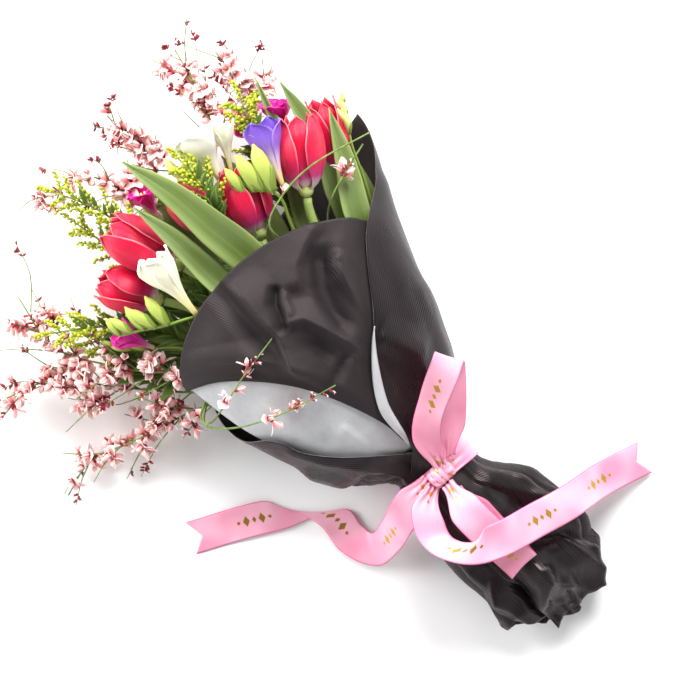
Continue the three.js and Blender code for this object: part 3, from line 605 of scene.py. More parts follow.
@dataclass(frozen=True)
class CutEdge(Finish):
    """The cut edge of coated paper: its pale core shows as a thin line."""

    light: str = "#8f8a88"
    dark: str = "#5f5a59"

    def inputs(self, add: Add) -> Inputs:
        """The core's fibres."""
        fibre = add("TexNoise", {"Vector": self.place(add), "Scale": 700.0})
        tint = add("ValToRGB", {0: fibre}, stops=((0.3, self.dark), (0.7, self.light)))
        return {"Base Color": tint, "Roughness": 0.7}


@dataclass(frozen=True)
class SatinWeave(Finish):
    """Polyester satin ribbon, woven: a silky gloss with painted sheen and shade, deeper edges, and small
    plain gold lozenges.
    """

    light: str = "#f5b5c9"
    dark: str = "#e68caa"
    selvedge: str = "#dd6a9a"
    gold: str = "#c79a3c"
    gloss: float = 0.28
    printed: bool = True
    width: float = 25.0
    repeat: float = 64.0  # mm from one group of lozenges to the next
    pitch: float = 0.9  # mm from weft to weft; real ones are finer than a pixel, drawn wider to show

    def lozenges(self, add: Add, out: Node, along: NodeSocket) -> Node:
        """Draws the groups of three lozenges.

        Args:
            add: adds a node to the material.
            out: how far a place is from the ribbon's middle.
            along: where it is along the ribbon.

        Returns:
            The node that gives 1 on a lozenge and 0 beside it.
        """
        local = add("Math", {0: along, 1: self.repeat / 2.0}, operation="PINGPONG")
        marks = None
        for place, reach, slim in ((6.0, 4.2, 2.6), (0.0, 2.4, 1.6), (12.0, 1.6, 1.6)):
            off = self.from_middle(add, local.outputs[0], place)
            share = add("Math", {0: off, 1: slim}, operation="DIVIDE")
            tall = add("Math", {0: out, 1: reach}, operation="DIVIDE")
            total = add("Math", {0: share, 1: tall}, operation="ADD")
            inside = add("Math", {0: total, 1: 1.0}, operation="LESS_THAN")
            if marks is not None:
                inside = add("Math", {0: inside, 1: marks}, operation="MAXIMUM")
            marks = inside
        return marks

    def inputs(self, add: Add) -> Inputs:
        """The weft, the selvedges and the lozenges, drawn from the ribbon's own millimetres, and patches of
        painted sheen and shade.
        """
        over, along = self.share(add)
        half = self.width / 2.0
        out = self.from_middle(add, over, half)
        weft = self.ribs(add, along, self.pitch)
        # painted sheen and shade: soft patches of lighter and darker pink stand in for the satin's
        # highlights and shaded folds; the same patches give a faint bump
        soft = add("TexNoise", {"Vector": self.place(add), "Scale": 34.0, "Detail": 1.0})
        silk = add("ValToRGB", {0: soft}, stops=((0.3, self.dark), (0.68, self.light)))
        edge = add("MapRange", {0: out, 1: half - 1.0, 2: half - 0.3})
        colour = add("Mix", {0: edge, 6: silk, 7: linear(self.selvedge)}, data_type="RGBA")
        metal: object = 0.0
        if self.printed:
            marks = self.lozenges(add, out, along)
            colour = add("Mix", {0: marks, 6: colour, 7: linear(self.gold)}, data_type="RGBA")
            metal = add("Math", {0: marks, 1: 0.8}, operation="MULTIPLY")
        return {
            "Base Color": colour,
            "Metallic": metal,
            "Roughness": add("MapRange", {0: weft, 3: self.gloss, 4: self.gloss + 0.1}),
            "Sheen Weight": 0.2,
            "Sheen Roughness": 0.3,
            "Sheen Tint": linear("#ffd9e2"),
            "Anisotropic": 0.5,
            "Normal": self.bumps(add, (soft, 0.25), (weft, 0.03)),
        }


@dataclass(frozen=True)
class PetalSkin(Finish):
    """A living petal: its colour runs from root to tip, with fine veins and a paler margin."""

    stops: tuple[tuple[float, str], ...]
    margin: str
    margin_start: float  # where the margin begins, as a share of the half width
    veins: float  # veins across a petal
    vein_depth: float
    gloss: float = 0.38

    def inputs(self, add: Add) -> Inputs:
        """The run of colour, the veins and the margin, drawn on the petal's own UV map."""
        over, along = self.share(add)
        lines = self.veined(add, self.veins, 1.6, 3.0)
        patch = add("TexNoise", {"Vector": self.place(add), "Scale": 70.0, "Detail": 2.0})
        shift = add("MapRange", {0: lines, 3: -0.07, 4: 0.07})
        run = add("Math", {0: along, 1: shift}, operation="ADD")
        body = add("ValToRGB", {0: run}, stops=self.stops)
        deep = add("HueSaturation", {"Color": body, "Value": 0.72, "Saturation": 1.1})
        vein = add("MapRange", {0: lines, 1: 0.35, 2: 0.65, 3: self.vein_depth * 2.0, 4: 0.0})
        veined = add("Mix", {0: vein, 6: body, 7: deep}, data_type="RGBA")
        wide = add("Math", {0: self.from_middle(add, over, 0.5), 1: 2.0}, operation="MULTIPLY")
        frayed = add("Math", {0: patch, 1: 0.12, 2: wide}, operation="MULTIPLY_ADD")
        end = add("MapRange", {0: along, 1: 0.93, 2: 1.0, 3: 0.0, 4: 1.1})
        rim = add("Math", {0: frayed, 1: end}, operation="MAXIMUM")
        start = self.margin_start + 0.06
        edge = add("MapRange", {0: rim, 1: start, 2: 1.08}, interpolation_type="SMOOTHSTEP")
        grown = add("MapRange", {0: along, 1: 0.2, 2: 0.45})
        edged = add("Math", {0: edge, 1: grown}, operation="MULTIPLY")
        return {
            "Base Color": add("Mix", {0: edged, 6: veined, 7: linear(self.margin)}, data_type="RGBA"),
            "Roughness": add("MapRange", {0: patch, 3: self.gloss - 0.06, 4: self.gloss + 0.1}),
            "IOR": 1.4,
            "Sheen Weight": 0.06,
            "Subsurface Weight": 0.12,
            "Subsurface Radius": (0.004, 0.002, 0.0015),
            "Subsurface Scale": 0.5,
            "Normal": self.bumps(add, (lines, 0.25)),
        }


@dataclass(frozen=True)
class LeafSkin(Finish):
    """A waxy leaf or stem: parallel veins run along it under a pale bloom."""

    light: str = "#6b7f38"
    dark: str = "#566c2b"
    wax: str = "#758757"
    base: str = "#8a9f4b"
    margin: str = "#9bad66"
    veins: float = 30.0  # veins across

    def inputs(self, add: Add) -> Inputs:
        """The veins on the UV map, and the bloom, the margin and the paler root over them."""
        over, along = self.share(add)
        lines = self.veined(add, self.veins, 1.2, 4.0)
        patch = add("TexNoise", {"Vector": self.place(add), "Scale": 26.0, "Detail": 3.0})
        colour = add("ValToRGB", {0: lines}, stops=((0.3, self.dark), (0.68, self.light)))
        middle = self.from_middle(add, over, 0.5)
        for place, start, end, low, high, tone in (
            (patch, 0.42, 0.75, 0.0, 0.55, self.wax),
            (middle, 0.22, 0.5, 0.0, 0.62, self.margin),
            (along, 0.0, 0.35, 0.6, 0.0, self.base),
        ):
            share = add("MapRange", {0: place, 1: start, 2: end, 3: low, 4: high})
            colour = add("Mix", {0: share, 6: colour, 7: linear(tone)}, data_type="RGBA")
        return {
            "Base Color": colour,
            "Roughness": add("MapRange", {0: patch, 3: 0.42, 4: 0.6}),
            "Subsurface Weight": 0.08,
            "Subsurface Radius": (0.001, 0.003, 0.0008),
            "Subsurface Scale": 0.5,
            "Normal": self.bumps(add, (lines, 0.3)),
        }


@dataclass(frozen=True)
class GreenSkin(Finish):
    """A smooth stem, twig, calyx or flower head: two tones that change from spot to spot."""

    light: str
    dark: str
    spots: float = 160.0  # how fine the change of tone is, per metre
    gloss: float = 0.5

    def inputs(self, add: Add) -> Inputs:
        """The change of tone and a fine grain."""
        spot = self.place(add)
        patch = add("TexNoise", {"Vector": spot, "Scale": self.spots, "Detail": 2.0})
        grain = add("TexNoise", {"Vector": spot, "Scale": 1400.0})
        return {
            "Base Color": add("ValToRGB", {0: patch}, stops=((0.36, self.dark), (0.66, self.light))),
            "Roughness": add("MapRange", {0: grain, 3: self.gloss - 0.08, 4: self.gloss + 0.12}),
            "Normal": self.bumps(add, (grain, 0.12)),
        }


@dataclass(frozen=True)
class StudioPaper(Finish):
    """The seamless white paper of a studio floor."""

    def inputs(self, add: Add) -> Inputs:
        """A hardly visible mottle."""
        mottle = add("TexNoise", {"Vector": self.place(add), "Scale": 6.0})
        tint = add("ValToRGB", {0: mottle}, stops=((0.3, "#fbfbfb"), (0.7, "#ffffff")))
        return {"Base Color": tint, "Roughness": 0.9}


# --- the wrapper
class FoldKind(Enum):
    """How a fold of paper runs out to its sides."""

    SOFT = "soft"
    CREASED = "creased"


CREASED = FoldKind.CREASED


@dataclass(frozen=True)
class Fold:
    """A ridge or, with a height below nought, a hollow along a line drawn in plan."""

    line: tuple[tuple[float, float], ...]
    height: float
    left: float  # how far it spreads to the left of its line
    right: float
    kind: FoldKind = FoldKind.SOFT
    run_out: float = 14.0  # length over which it fades at its ends

    def lift(self, x: float, y: float) -> float:
        """How much it raises the sheet over a place in plan.

        Args:
            x: the place along the bunch.
            y: the place across it.

        Returns:
            The lift in millimetres.
        """
        best, side, where, total = 1e9, 1.0, 0.0, 0.0
        for (x0, y0), (x1, y1) in zip(self.line, self.line[1:]):
            dx, dy = x1 - x0, y1 - y0
            length = math.hypot(dx, dy)
            t = clamp(((x - x0) * dx + (y - y0) * dy) / length**2)
            away = math.hypot(x - x0 - t * dx, y - y0 - t * dy)
            if away < best:
                best = away
                side = dx * (y - y0) - dy * (x - x0)
                where = total + t * length
            total += length
        spread = best / (self.left if side > 0 else self.right)
        if spread >= 1.0:
            return 0.0
        fade = min(ease(where, -0.3 * self.run_out, self.run_out), 1.0)
        fade *= 1.0 - ease(where, total - self.run_out, total + 0.3 * self.run_out)
        shape = 0.5 + 0.5 * math.cos(math.pi * spread)
        if self.kind is FoldKind.CREASED:
            shape = (1.0 - spread) ** 1.2
        return self.height * fade * shape


@dataclass(frozen=True)
class Bunch:
    """The form of the wrapped bunch: its oval section from the foot to the mouth."""

    waist: float = 12.0
    pleats: int = 7
    paper: float = 0.8
    right_side: Profile = Profile(
        (-148, -34), (-118, -53), (-53, -53), (-12, -29), (12, -29),
        (26, -46), (44, -63), (85, -80), (154, -107), (225, -141),
    )  # fmt: skip
    left_side: Profile = Profile(
        (-148, 40), (-118, 47), (-44, 44), (-12, 30), (12, 30),
        (36, 54), (48, 63), (85, 76), (123, 87), (225, 98),
    )  # fmt: skip
    half_height: Profile = Profile(
        (-148, 15), (-118, 22), (-50, 24), (-12, 21), (12, 21), (48, 36), (85, 44), (123, 49), (200, 52)
    )
    axis_height: Profile = Profile(
        (-148, 15), (-118, 21), (-50, 26), (-12, 33), (12, 33), (48, 35), (85, 42), (123, 47), (200, 50)
    )
    pleat_depth: Profile = Profile(
        (-148, 4), (-60, 4.5), (-12, 2.2), (12, 2.2), (45, 1.4), (80, 0)
    )

    def middle(self, x: float) -> float:
        """The middle of the section across the bunch."""
        return (self.left_side(x) + self.right_side(x)) / 2.0

    def half_width(self, x: float) -> float:
        """Half the section's width."""
        return (self.left_side(x) - self.right_side(x)) / 2.0

    def on_section(self, x: float, degrees: float, inset: float = 0.0, relief: float = 0.0) -> Vector:
        """A point of the wrapper.

        Args:
            x: the place along the bunch.
            degrees: the angle from the top towards the right side.
            inset: how far under the outermost sheet.
            relief: how far its folds stand out there.

        Returns:
            The point, never under the surface that the bunch lies on.
        """
        angle = math.radians(degrees)
        wave = math.cos(self.pleats * angle + 0.5 * math.sin(2.0 * angle + x / 30.0) * ease(-x, 10, 60))
        sharp = 0.55 + 0.45 * ease(-x, 15, 60)
        ridge = mix(wave, 1.0 - 2.0 * abs(math.acos(clamp(wave, -1.0, 1.0))) / math.pi, sharp)
        reach = self.pleat_depth(x) * (ridge - 1.0) - inset + relief
        y = self.middle(x) - (self.half_width(x) + reach) * math.sin(angle)
        z = self.axis_height(x) + (self.half_height(x) + reach) * math.cos(angle)
        return Vector((x, y, max(z, self.paper / 2.0 + inset)))

    def on_top_angle(self, x: float, y: float, inset: float) -> float:
        """The section's angle over a place in plan, in degrees."""
        sine = (self.middle(x) - y) / (self.half_width(x) - inset - self.pleat_depth(x))
        return math.degrees(math.asin(clamp(sine, -1.0, 1.0)))

    def on_top(self, x: float, y: float, inset: float, relief: float = 0.0) -> Vector:
        """The point of the upper side over a place in plan."""
        return self.on_section(x, self.on_top_angle(x, y, inset), inset, relief)


def zigzag(place: float) -> float:
    """A wave of straight slopes between -1 and 1, one to each unit of place."""
    return 4.0 * abs(place - math.floor(place + 0.5)) - 1.0


def crumpled(along: float, over: float, size: float, seed: float) -> float:
    """The relief of crushed paper: flat facets that meet in straight creases.

    Args:
        along: the place along the sheet.
        over: the place across it.
        size: the facets' size.
        seed: picks another pattern.

    Returns:
        The relief, from about -1 to 1.
    """
    x = along / size + 0.21 * zigzag(over / size / 2.3 + seed) + seed
    y = over / size + 0.24 * zigzag(along / size / 2.9 - seed)
    relief = 0.0
    for k, weight in enumerate((0.42, 0.33, 0.25)):
        angle = seed + 1.13 * k
        place = (x * math.cos(angle) + y * math.sin(angle)) * (0.38 + 0.17 * k)
        relief += weight * zigzag(place + 0.4 * k)
    return relief


@dataclass
class Wrapper:
    """The black paper round the bunch, its front sheet, and the grey liner that shows between."""

    bunch: Bunch
    paper: float = 0.45
    foot_end: float = 146.0
    foot_notch: float = 26.0
    mouth_right: float = 225.0
    mouth_left: float = 123.0
    front_inset: float = 3.0
    liner_inset: float = 5.4
    lip: float = 8.0  # width of the right flap's rolled edge, which shows the grey reverse
    lip_paper: float = 0.3
    foot_rows: float = 0.42  # share of the outer sheet's rows that lie before the waist
    overlap: float = 1.3  # how far its left edge lies under its right
    highest: float = 4.2  # how far its folds may stand out
    deepest: float = -9.0  # and how far in
    flap_deepest: float = -2.2  # the right flap keeps clear of the sheets under it
    outer_size: tuple[float, float] = (335.0, 450.0)  # true sizes, so that the ribs keep their pitch
    front_size: tuple[float, float] = (229.0, 205.0)
    liner_size: tuple[float, float] = (87.0, 165.0)
    lip_size: tuple[float, float] = (7.0, 66.0)
    outer_faces: tuple[int, int] = (204, 168)  # across each sheet and along it
    front_faces: tuple[int, int] = (130, 120)
    liner_faces: tuple[int, int] = (70, 70)
    lip_faces: tuple[int, int] = (7, 44)
    right_flap: Profile = Profile(
        (12, -35), (26, -6), (65, 6), (98, 20), (117, 30), (140, 39), (161, 49), (184, 69), (225, 90)
    )
    left_flap: Profile = Profile(
        (12, 372), (28, 346), (54, 324), (77, 310), (104, 299), (123, 270)
    )
    outer_folds: tuple[Fold, ...] = (
        Fold(((-94, 20), (-114, 23), (-128, 25), (-152, 28)), -9.0, 6, 5, CREASED, 10.0),
        Fold(((-100, -9), (-117, 4), (-130, 21)), 6.5, 8, 20, CREASED, 8.0),
        Fold(((-88, -26), (-112, -30), (-150, -34)), 6.0, 8, 13, CREASED),
        Fold(((-73, -4), (-86, -21), (-101, -38), (-118, -55)), -5.5, 5, 12, CREASED, 8.0),
        Fold(((-66, -14), (-88, -39), (-107, -54)), 4.0, 15, 6, CREASED),
        Fold(((-80, 30), (-102, 40), (-130, 52)), 6.5, 14, 6, CREASED),
        Fold(((-106, 6), (-126, -8), (-150, -20)), 4.5, 12, 6, CREASED),
        Fold(((-112, -8), (-132, -3), (-150, 5)), -4.0, 7, 12, CREASED),
        Fold(((-22, 34), (-49, 33), (-66, 32)), 4.0, 9, 8, CREASED),
        Fold(((-20, -12), (-52, -30), (-84, -46)), 4.0, 12, 12, CREASED),
        Fold(((94, 68), (61, 51), (38, 34), (16, 22)), 4.0, 14, 9, CREASED),
        Fold(((35, 60), (36, 42), (27, 31), (13, 24)), -5.5, 5, 8, CREASED, 6.0),
        Fold(((72, 71), (50, 57), (35, 54)), 4.0, 6, 10, CREASED),
        Fold(((101, -34), (86, -42), (66, -50)), 4.2, 22, 8, CREASED, 6.0),
        Fold(((92, -32), (70, -26), (50, -18)), -2.2, 12, 10),
        Fold(((186, -120), (119, -85), (77, -67)), 3.0, 14, 22),
        Fold(((20, -24), (46, -36), (74, -48)), 3.0, 8, 12, CREASED),
        Fold(((24, -38), (60, -66), (110, -86)), 2.5, 10, 10),
    )
    front_folds: tuple[Fold, ...] = (
        Fold(((222, 18), (186, 20), (162, 22), (127, 24)), -6.0, 9, 12),
        Fold(((200, 7), (169, 10), (149, 10), (127, 18), (108, 21)), 6.5, 22, 6, CREASED),
        Fold(((176, -13), (167, -3), (147, 5)), -6.5, 5, 8, CREASED, 5.0),
        Fold(((171, -12), (152, -4)), 4.0, 5, 5, CREASED, 5.0),
        Fold(((187, -62), (182, -44), (176, -30), (162, -18)), 5.0, 6, 22, CREASED, 8.0),
        Fold(((176, -52), (154, -34), (125, -24), (112, -22)), -8.5, 15, 12),
        Fold(((166, -56), (158, -48), (144, -44), (133, -43), (104, -42)), 6.0, 12, 5, CREASED, 8.0),
        Fold(((154, 3), (146, -9), (128, -14), (108, -19), (88, -22)), 8.0, 15, 7, CREASED, 6.0),
        Fold(((140, 4), (126, -2), (108, -4)), -4.5, 8, 9),
        Fold(((106, -15), (85, -8), (58, -3)), 5.0, 9, 9, CREASED, 6.0),
        Fold(((108, -13), (104, -1), (100, 16)), -4.0, 8, 5, CREASED, 5.0),
        Fold(((182, 76), (165, 49), (150, 31), (126, 20), (98, 14)), 6.0, 13, 18, CREASED),
    )
    liner_folds: tuple[Fold, ...] = (
        Fold(((76, 25), (60, 24), (46, 24)), 3.0, 4, 13, CREASED, 6.0),
        Fold(((90, 28), (80, 38), (68, 47)), -2.4, 9, 12),
        Fold(((154, 74), (122, 60), (82, 40)), 1.2, 14, 14),
    )

    def outer_spot(self, x: float, degrees: float, inset: float, raised: float = 0.0) -> Vector:
        """A point of the sheet round the bunch, with its folds and its crumples.

        Args:
            x: the place along the bunch.
            degrees: the angle from the top towards the right side.
            inset: how far under the outermost layer.
            raised: how far above the sheet.

        Returns:
            The point.
        """
        flat = self.bunch.on_section(x, degrees, inset)
        round_it = math.radians(degrees) * self.bunch.half_width(x)
        toe = ease(-x, 18, 70)
        relief = toe * (3.4 * crumpled(x / 1.7, round_it, 25.0, 3.1) - 1.0)
        relief += toe * 1.3 * crumpled(x / 1.3, round_it, 11.0, 8.3)
        gather = ease(-x, -60, -14) * ease(x, -60, -14)
        relief += gather * 0.9 * noise.noise(Vector((x / 60.0, flat.y / 3.2, flat.z / 3.2)))
        relief += ease(x, 20, 70) * 1.5 * crumpled(x / 2.2, round_it, 34.0, 1.7)
        if math.cos(math.radians(degrees)) > -0.25:
            relief += sum(fold.lift(flat.x, flat.y) for fold in self.outer_folds)
        on_flap = ease(x, 15.0, 40.0) if degrees < 150.0 else 0.0
        relief = clamp(relief, mix(self.deepest, self.flap_deepest, on_flap), self.highest)
        return self.bunch.on_section(x, degrees, inset, relief + raised)

    def outer_at(self, u: float, v: float) -> Vector:
        """A point of the sheet that goes round the bunch, from the right flap's edge to the left's."""
        notch = self.foot_notch * max(0.0, math.cos(math.tau * (u - 0.77))) ** 4
        mouth = mix(self.mouth_right, self.mouth_left, u**2.8)
        waist, share = self.bunch.waist, self.foot_rows
        if v < share:
            x = -mix(self.foot_end - notch, waist, v / share)
        else:
            x = mix(-waist, mouth, (v - share) / (1.0 - share))
        degrees = mix(self.right_flap(x), self.left_flap(x), u)
        spot = self.outer_spot(x, degrees, self.overlap * ease(u, 0.8, 0.9))
        jag = 5.0 * crumpled(degrees / 3.0, 0.0, 8.0, 2.2)
        spot.x += (jag + 3.0) * (1.0 - ease(v, 0.0, 0.12))
        return spot

    def lip_at(self, u: float, v: float) -> Vector:
        """A point of the right flap's edge, rolled back over it so that its reverse shows."""
        x = mix(30.0, 108.0, v)
        width = self.lip * math.sin(math.pi * v) ** 0.8 + 0.4
        degrees = self.right_flap(x) - math.degrees(width / self.bunch.half_width(x)) * (u - 0.12)
        return self.outer_spot(x, degrees, 0.0, 0.9 + 2.2 * math.sin(math.pi * clamp(u * 0.8 + 0.1)))

    def top_sheet(
        self,
        right: Sequence[tuple[float, float]],
        left: Sequence[tuple[float, float]],
        bulge: float,
        inset: float,
        folds: Sequence[Fold],
        crown: float,
    ) -> At:
        """A sheet laid on the upper side between two edges given in plan.

        Args:
            right: its right edge.
            left: its left edge.
            bulge: how far its far edge bows out.
            inset: how deep it lies.
            folds: its folds.
            crown: how far its middle stands up.

        Returns:
            What gives its points.
        """
        edges = [Way((x, y, 0.0) for x, y in edge) for edge in (right, left)]

        def at(u: float, v: float) -> Vector:
            """A point of the sheet."""
            plan = [edge.knotted(v * edge.last) for edge in edges]
            x = mix(plan[0].x, plan[1].x, u) + bulge * math.sin(math.pi * u) ** 0.6 * v**1.5
            y = mix(plan[0].y, plan[1].y, u)
            covered = self.right_flap(x) - self.bunch.on_top_angle(x, y, inset)
            open_air = ease(covered, 1.0, 22.0) * ease(1.0 - u, 0.0, 0.2) * ease(v, 0.05, 0.3)
            raised = sum(fold.lift(x, y) for fold in folds) + crown * (1.0 - 0.5 * ease(v, 0.8, 1.0))
            relief = raised * open_air
            relief += 0.15 * crown * crumpled(x, y, 38.0, inset) * open_air
            return self.bunch.on_top(x, y, inset, max(relief, -1.7))

        return at

    def build(self) -> Iterable[Object]:
        """Builds the three sheets.

        Returns:
            The pieces, each standing for its node.
        """
        # deep black with thin streaks of gloss, and the same paper's charcoal back without them
        black = RibbedPaper("black_coated_ribbed_paper").made()
        dull = RibbedPaper("black_paper_reverse", "#211d1e", "#131011", 0.6).made()
        # a bright silvery grey, and the pale line of a cut edge
        grey = PearlPaper("grey_pearl_paper").made()
        edge = CutEdge("black_paper_cut_edge").made()
        outer = Draft()
        outer.sheet(*self.outer_faces, self.outer_at, self.paper, self.outer_size, 0, reverse=3, rim=2)
        outer.sheet(*self.lip_faces, self.lip_at, self.lip_paper, self.lip_size, finish=1)
        finishes = (black, grey, edge, dull)
        yield outer.piece("black_paper_wrap", finishes, "wrapper_outer", "black_wrapping_paper")
        front_at = self.top_sheet(
            right=((22, -12), (60, -42), (100, -64), (157, -92)),
            left=((34, 2), (56, 4), (114, 27), (156, 63), (170, 87)),
            bulge=42.0,
            inset=self.front_inset,
            folds=self.front_folds,
            crown=6.5,
        )
        front = Draft()
        front.sheet(*self.front_faces, front_at, self.paper, self.front_size, reverse=1, rim=2)
        finishes = (black, dull, edge)
        yield front.piece("black_paper_front", finishes, "wrapper_front_sheet", "black_wrapping_paper")
        liner_at = self.top_sheet(
            right=((27, -10), (90, -16), (130, 8), (160, 48)),
            left=((27, 24), (62, 53), (92, 68), (125, 78), (172, 84)),
            bulge=0.0,
            inset=self.liner_inset,
            folds=self.liner_folds,
            crown=0.0,
        )
        liner = Draft()
        liner.sheet(*self.liner_faces, liner_at, self.paper, self.liner_size, rim=1)
        yield liner.piece("grey_paper_liner", (grey, edge), "wrapper_liner", "grey_wrapping_paper")


# --- the ribbon
class StripEnd(Enum):
    """How the far end of a strip of ribbon is finished."""

    GATHERED = "gathered into the knot"
    SWALLOW_TAIL = "cut to two points"


@dataclass(frozen=True)
class Strip:
    """A strip of ribbon from the knot. Its rows hold a place and its width's direction there."""

    name: str
    stations: tuple[tuple[float, ...], ...]
    end: StripEnd = StripEnd.GATHERED
    back: int = 1  # the number of its underside's finish
    steps: int = 110  # faces along it, and across it
    columns: int = 14
    width: float = 25.0
    drawn: float = 0.42  # the share of its width that the knot leaves it
    gather: tuple[float, float] = (3.0, 24.0)  # where it starts to widen from the knot, and is wide
    notch: float = 9.0  # depth of a swallow tail
    lowest: float = 0.5  # how near its middle comes to the surface

    def at(self) -> tuple[At, float]:
        """Works out the strip.

        Returns:
            What gives its points, and its length.
        """
        middle = Way(station[:3] for station in self.stations)
        sides = Way(station[3:] for station in self.stations)
        length = middle.length

        def drawn_in(place: float) -> float:
            """How strongly the knot gathers the strip there, from 0 to 1."""
            near = 1.0 - ease(place, *self.gather)
            far = 1.0 - ease(length - place, *self.gather) if self.end is StripEnd.GATHERED else 0.0
            return max(near, far)

        def spot(u: float, v: float) -> Vector:
            """A point of the strip's middle surface."""
            share = v
            if self.end is StripEnd.SWALLOW_TAIL:
                cut = self.notch * (1.0 - abs(2.0 * u - 1.0)) * ease(v, 0.86, 1.0)
                share = v - cut / length
            knot = middle.knot(share)
            side = sides.knotted(knot).normalized()
            over = middle.ahead(share).cross(side)
            place = share * length
            tight = drawn_in(place)
            reach = (u - 0.5) * self.width * mix(1.0, self.drawn, tight)
            pleat = 1.5 * tight * math.sin(6.0 * math.pi * u + 0.6)
            cup = 1.1 * (1.0 - tight) * (2.0 * u - 1.0) ** 2 * math.sin(place / 17.0)
            drift = 0.35 * noise.noise(Vector((u * 2.0, place / 11.0, len(self.name))))
            lifted = middle.at(share) + side * reach + over * (pleat + cup + drift)
            lifted.z = max(lifted.z, self.lowest)
            return lifted

        return spot, length


@dataclass
class Bow:
    """The satin ribbon: the band round the waist, the knot, two loops and two tails."""

    bunch: Bunch
    width: float = 25.0
    ribbon: float = 0.35
    band_length: float = 20.0
    over_waist: float = 7.5  # how far the knot's middle stands over the waist
    knot_faces: tuple[int, int] = (56, 26)
    turn_faces: tuple[int, int] = (12, 48)
    band_faces: tuple[int, int] = (18, 120)
    strips: tuple[Strip, ...] = (
        Strip(
            "satin_upper_loop",
            (
                (2, -3, 64, -0.3, -1, 0), (24, -10, 76, -0.9, -0.4, -0.2), (40, -28, 92, -0.95, 0.05, -0.3),
                (52, -52, 100, -0.85, -0.22, -0.42), (56, -62, 94, -0.78, -0.4, -0.5),
                (46, -54, 84, -0.5, -0.7, -0.5), (26, -36, 74, -0.5, -0.6, -0.6),
                (5, -12, 66, -0.4, -0.8, -0.4),
            ),
        ),
        Strip(
            "satin_lower_loop",
            (
                (-8, 2, 63, 0, 1, 0), (-32, 6, 71, 0, 1, 0.1), (-60, 6, 68, 0, 1, 0),
                (-82, 5, 62, 0, 1, 0), (-89, 5, 56, 0, 1, 0), (-80, 4, 51.5, 0, 1, 0),
                (-48, 3, 53.5, 0, 1, 0), (-16, 1, 57.6, 0, 1, 0),
            ),
        ),
        Strip(
            "satin_right_tail",
            (
                (-3, 10, 61, 0.7, 0.6, 0.3), (-10, 24, 64, 0.9, 0.4, 0), (-28, 35, 66, 0.7, 0.7, 0),
                (-46, 30, 75, 0.3, 1, 0.1), (-60, 6, 77, -0.9, 0.4, 0), (-72, -26, 62, -0.95, 0.3, 0),
                (-80, -48, 50, -0.95, 0.3, 0), (-90, -80, 20, -0.94, 0.34, 0),
                (-104, -116, 2.2, -0.94, 0.34, 0),
            ),
            StripEnd.SWALLOW_TAIL,
        ),
        Strip(
            "satin_left_tail",
            (
                (3, 10, 60, -1, 0, 0.2), (1, 26, 60, -1, 0.1, 0), (-4, 44, 47, -1, 0.1, 0),
                (-9, 60, 26, -1, 0.2, 0), (-9, 76, 7, -0.9, 0.6, 0), (8, 82, 2.2, -0.1, 1, 0),
                (28, 80, 1.6, 0.3, 1, 0), (44, 90, 1.2, 0.8, 0.8, 0), (66, 118, 1, 0.9, -0.45, 0),
                (93, 167, 1, 0.9, -0.45, 0),
            ),
            StripEnd.SWALLOW_TAIL,
            0,
            150,
        ),
    )  # fmt: skip

    def band_at(self, u: float, v: float) -> Vector:
        """A point of the band: an oval ring with wrinkles that run to the knot."""
        angle = math.tau * v
        top = max(0.0, math.cos(angle)) ** 3
        wrinkle = math.cos(math.tau * 3.0 * u + 2.0 * math.sin(angle))
        reach = 1.0 + 0.55 * wrinkle * (0.35 + 0.65 * top)
        wide = self.bunch.half_width(0.0) + reach
        high = self.bunch.half_height(0.0) + reach
        x = (u - 0.5) * self.band_length * mix(1.05, 0.72, top)
        y = self.bunch.middle(0.0) - wide * math.sin(angle)
        return Vector((x, y, self.bunch.axis_height(0.0) + high * math.cos(angle)))

    def knot(self, finish: Material) -> Object:
        """Builds the knot: a pleated bundle of ribbon with one turn of it drawn tight across."""
        top = self.bunch.axis_height(0.0) + self.bunch.half_height(0.0)
        middle = Vector((0.0, 0.0, top + self.over_waist))
        draft = Draft()

        def bundle(u: float, v: float) -> Vector:
            """A point of the bundle, whose pleats run across the bunch."""
            angle, along = math.tau * u, 2.0 * v - 1.0
            waist = 0.74 + 0.26 * abs(along) ** 1.5
            round_off = math.sqrt(max(0.0, 1.0 - along**6))
            pleat = 1.0 + 0.09 * math.cos(7.0 * angle + 3.0 * along)
            size = waist * round_off * pleat
            x, z = 8.0 * size * math.cos(angle), 5.4 * size * math.sin(angle)
            return middle + Vector((x, 10.0 * along, z))

        corners, _ = draft.grid(*self.knot_faces, bundle, (self.width, 20.0))
        draft.join(corners)
        bmesh.ops.recalc_face_normals(draft.mesh, faces=draft.mesh.faces[:])

        def turn(u: float, v: float) -> Vector:
            """A point of the turn across the bundle."""
            angle = math.tau * v
            crease = 0.35 * math.cos(math.tau * 2.5 * u + math.sin(angle))
            wide = 7.0 + crease
            skew = 1.4 * math.sin(angle)
            y = (u - 0.5) * 9.0 + skew
            return middle + Vector((wide * math.cos(angle), y, (4.9 + crease) * math.sin(angle)))

        draft.sheet(*self.turn_faces, turn, self.ribbon, (self.width, 40.0), ring=True)
        return draft.piece("satin_knot", (finish,), "ribbon_knot", "satin_ribbon")

    def build(self) -> Iterable[Object]:
        """Builds the ribbon's pieces.

        Returns:
            The pieces, each standing for its node.
        """
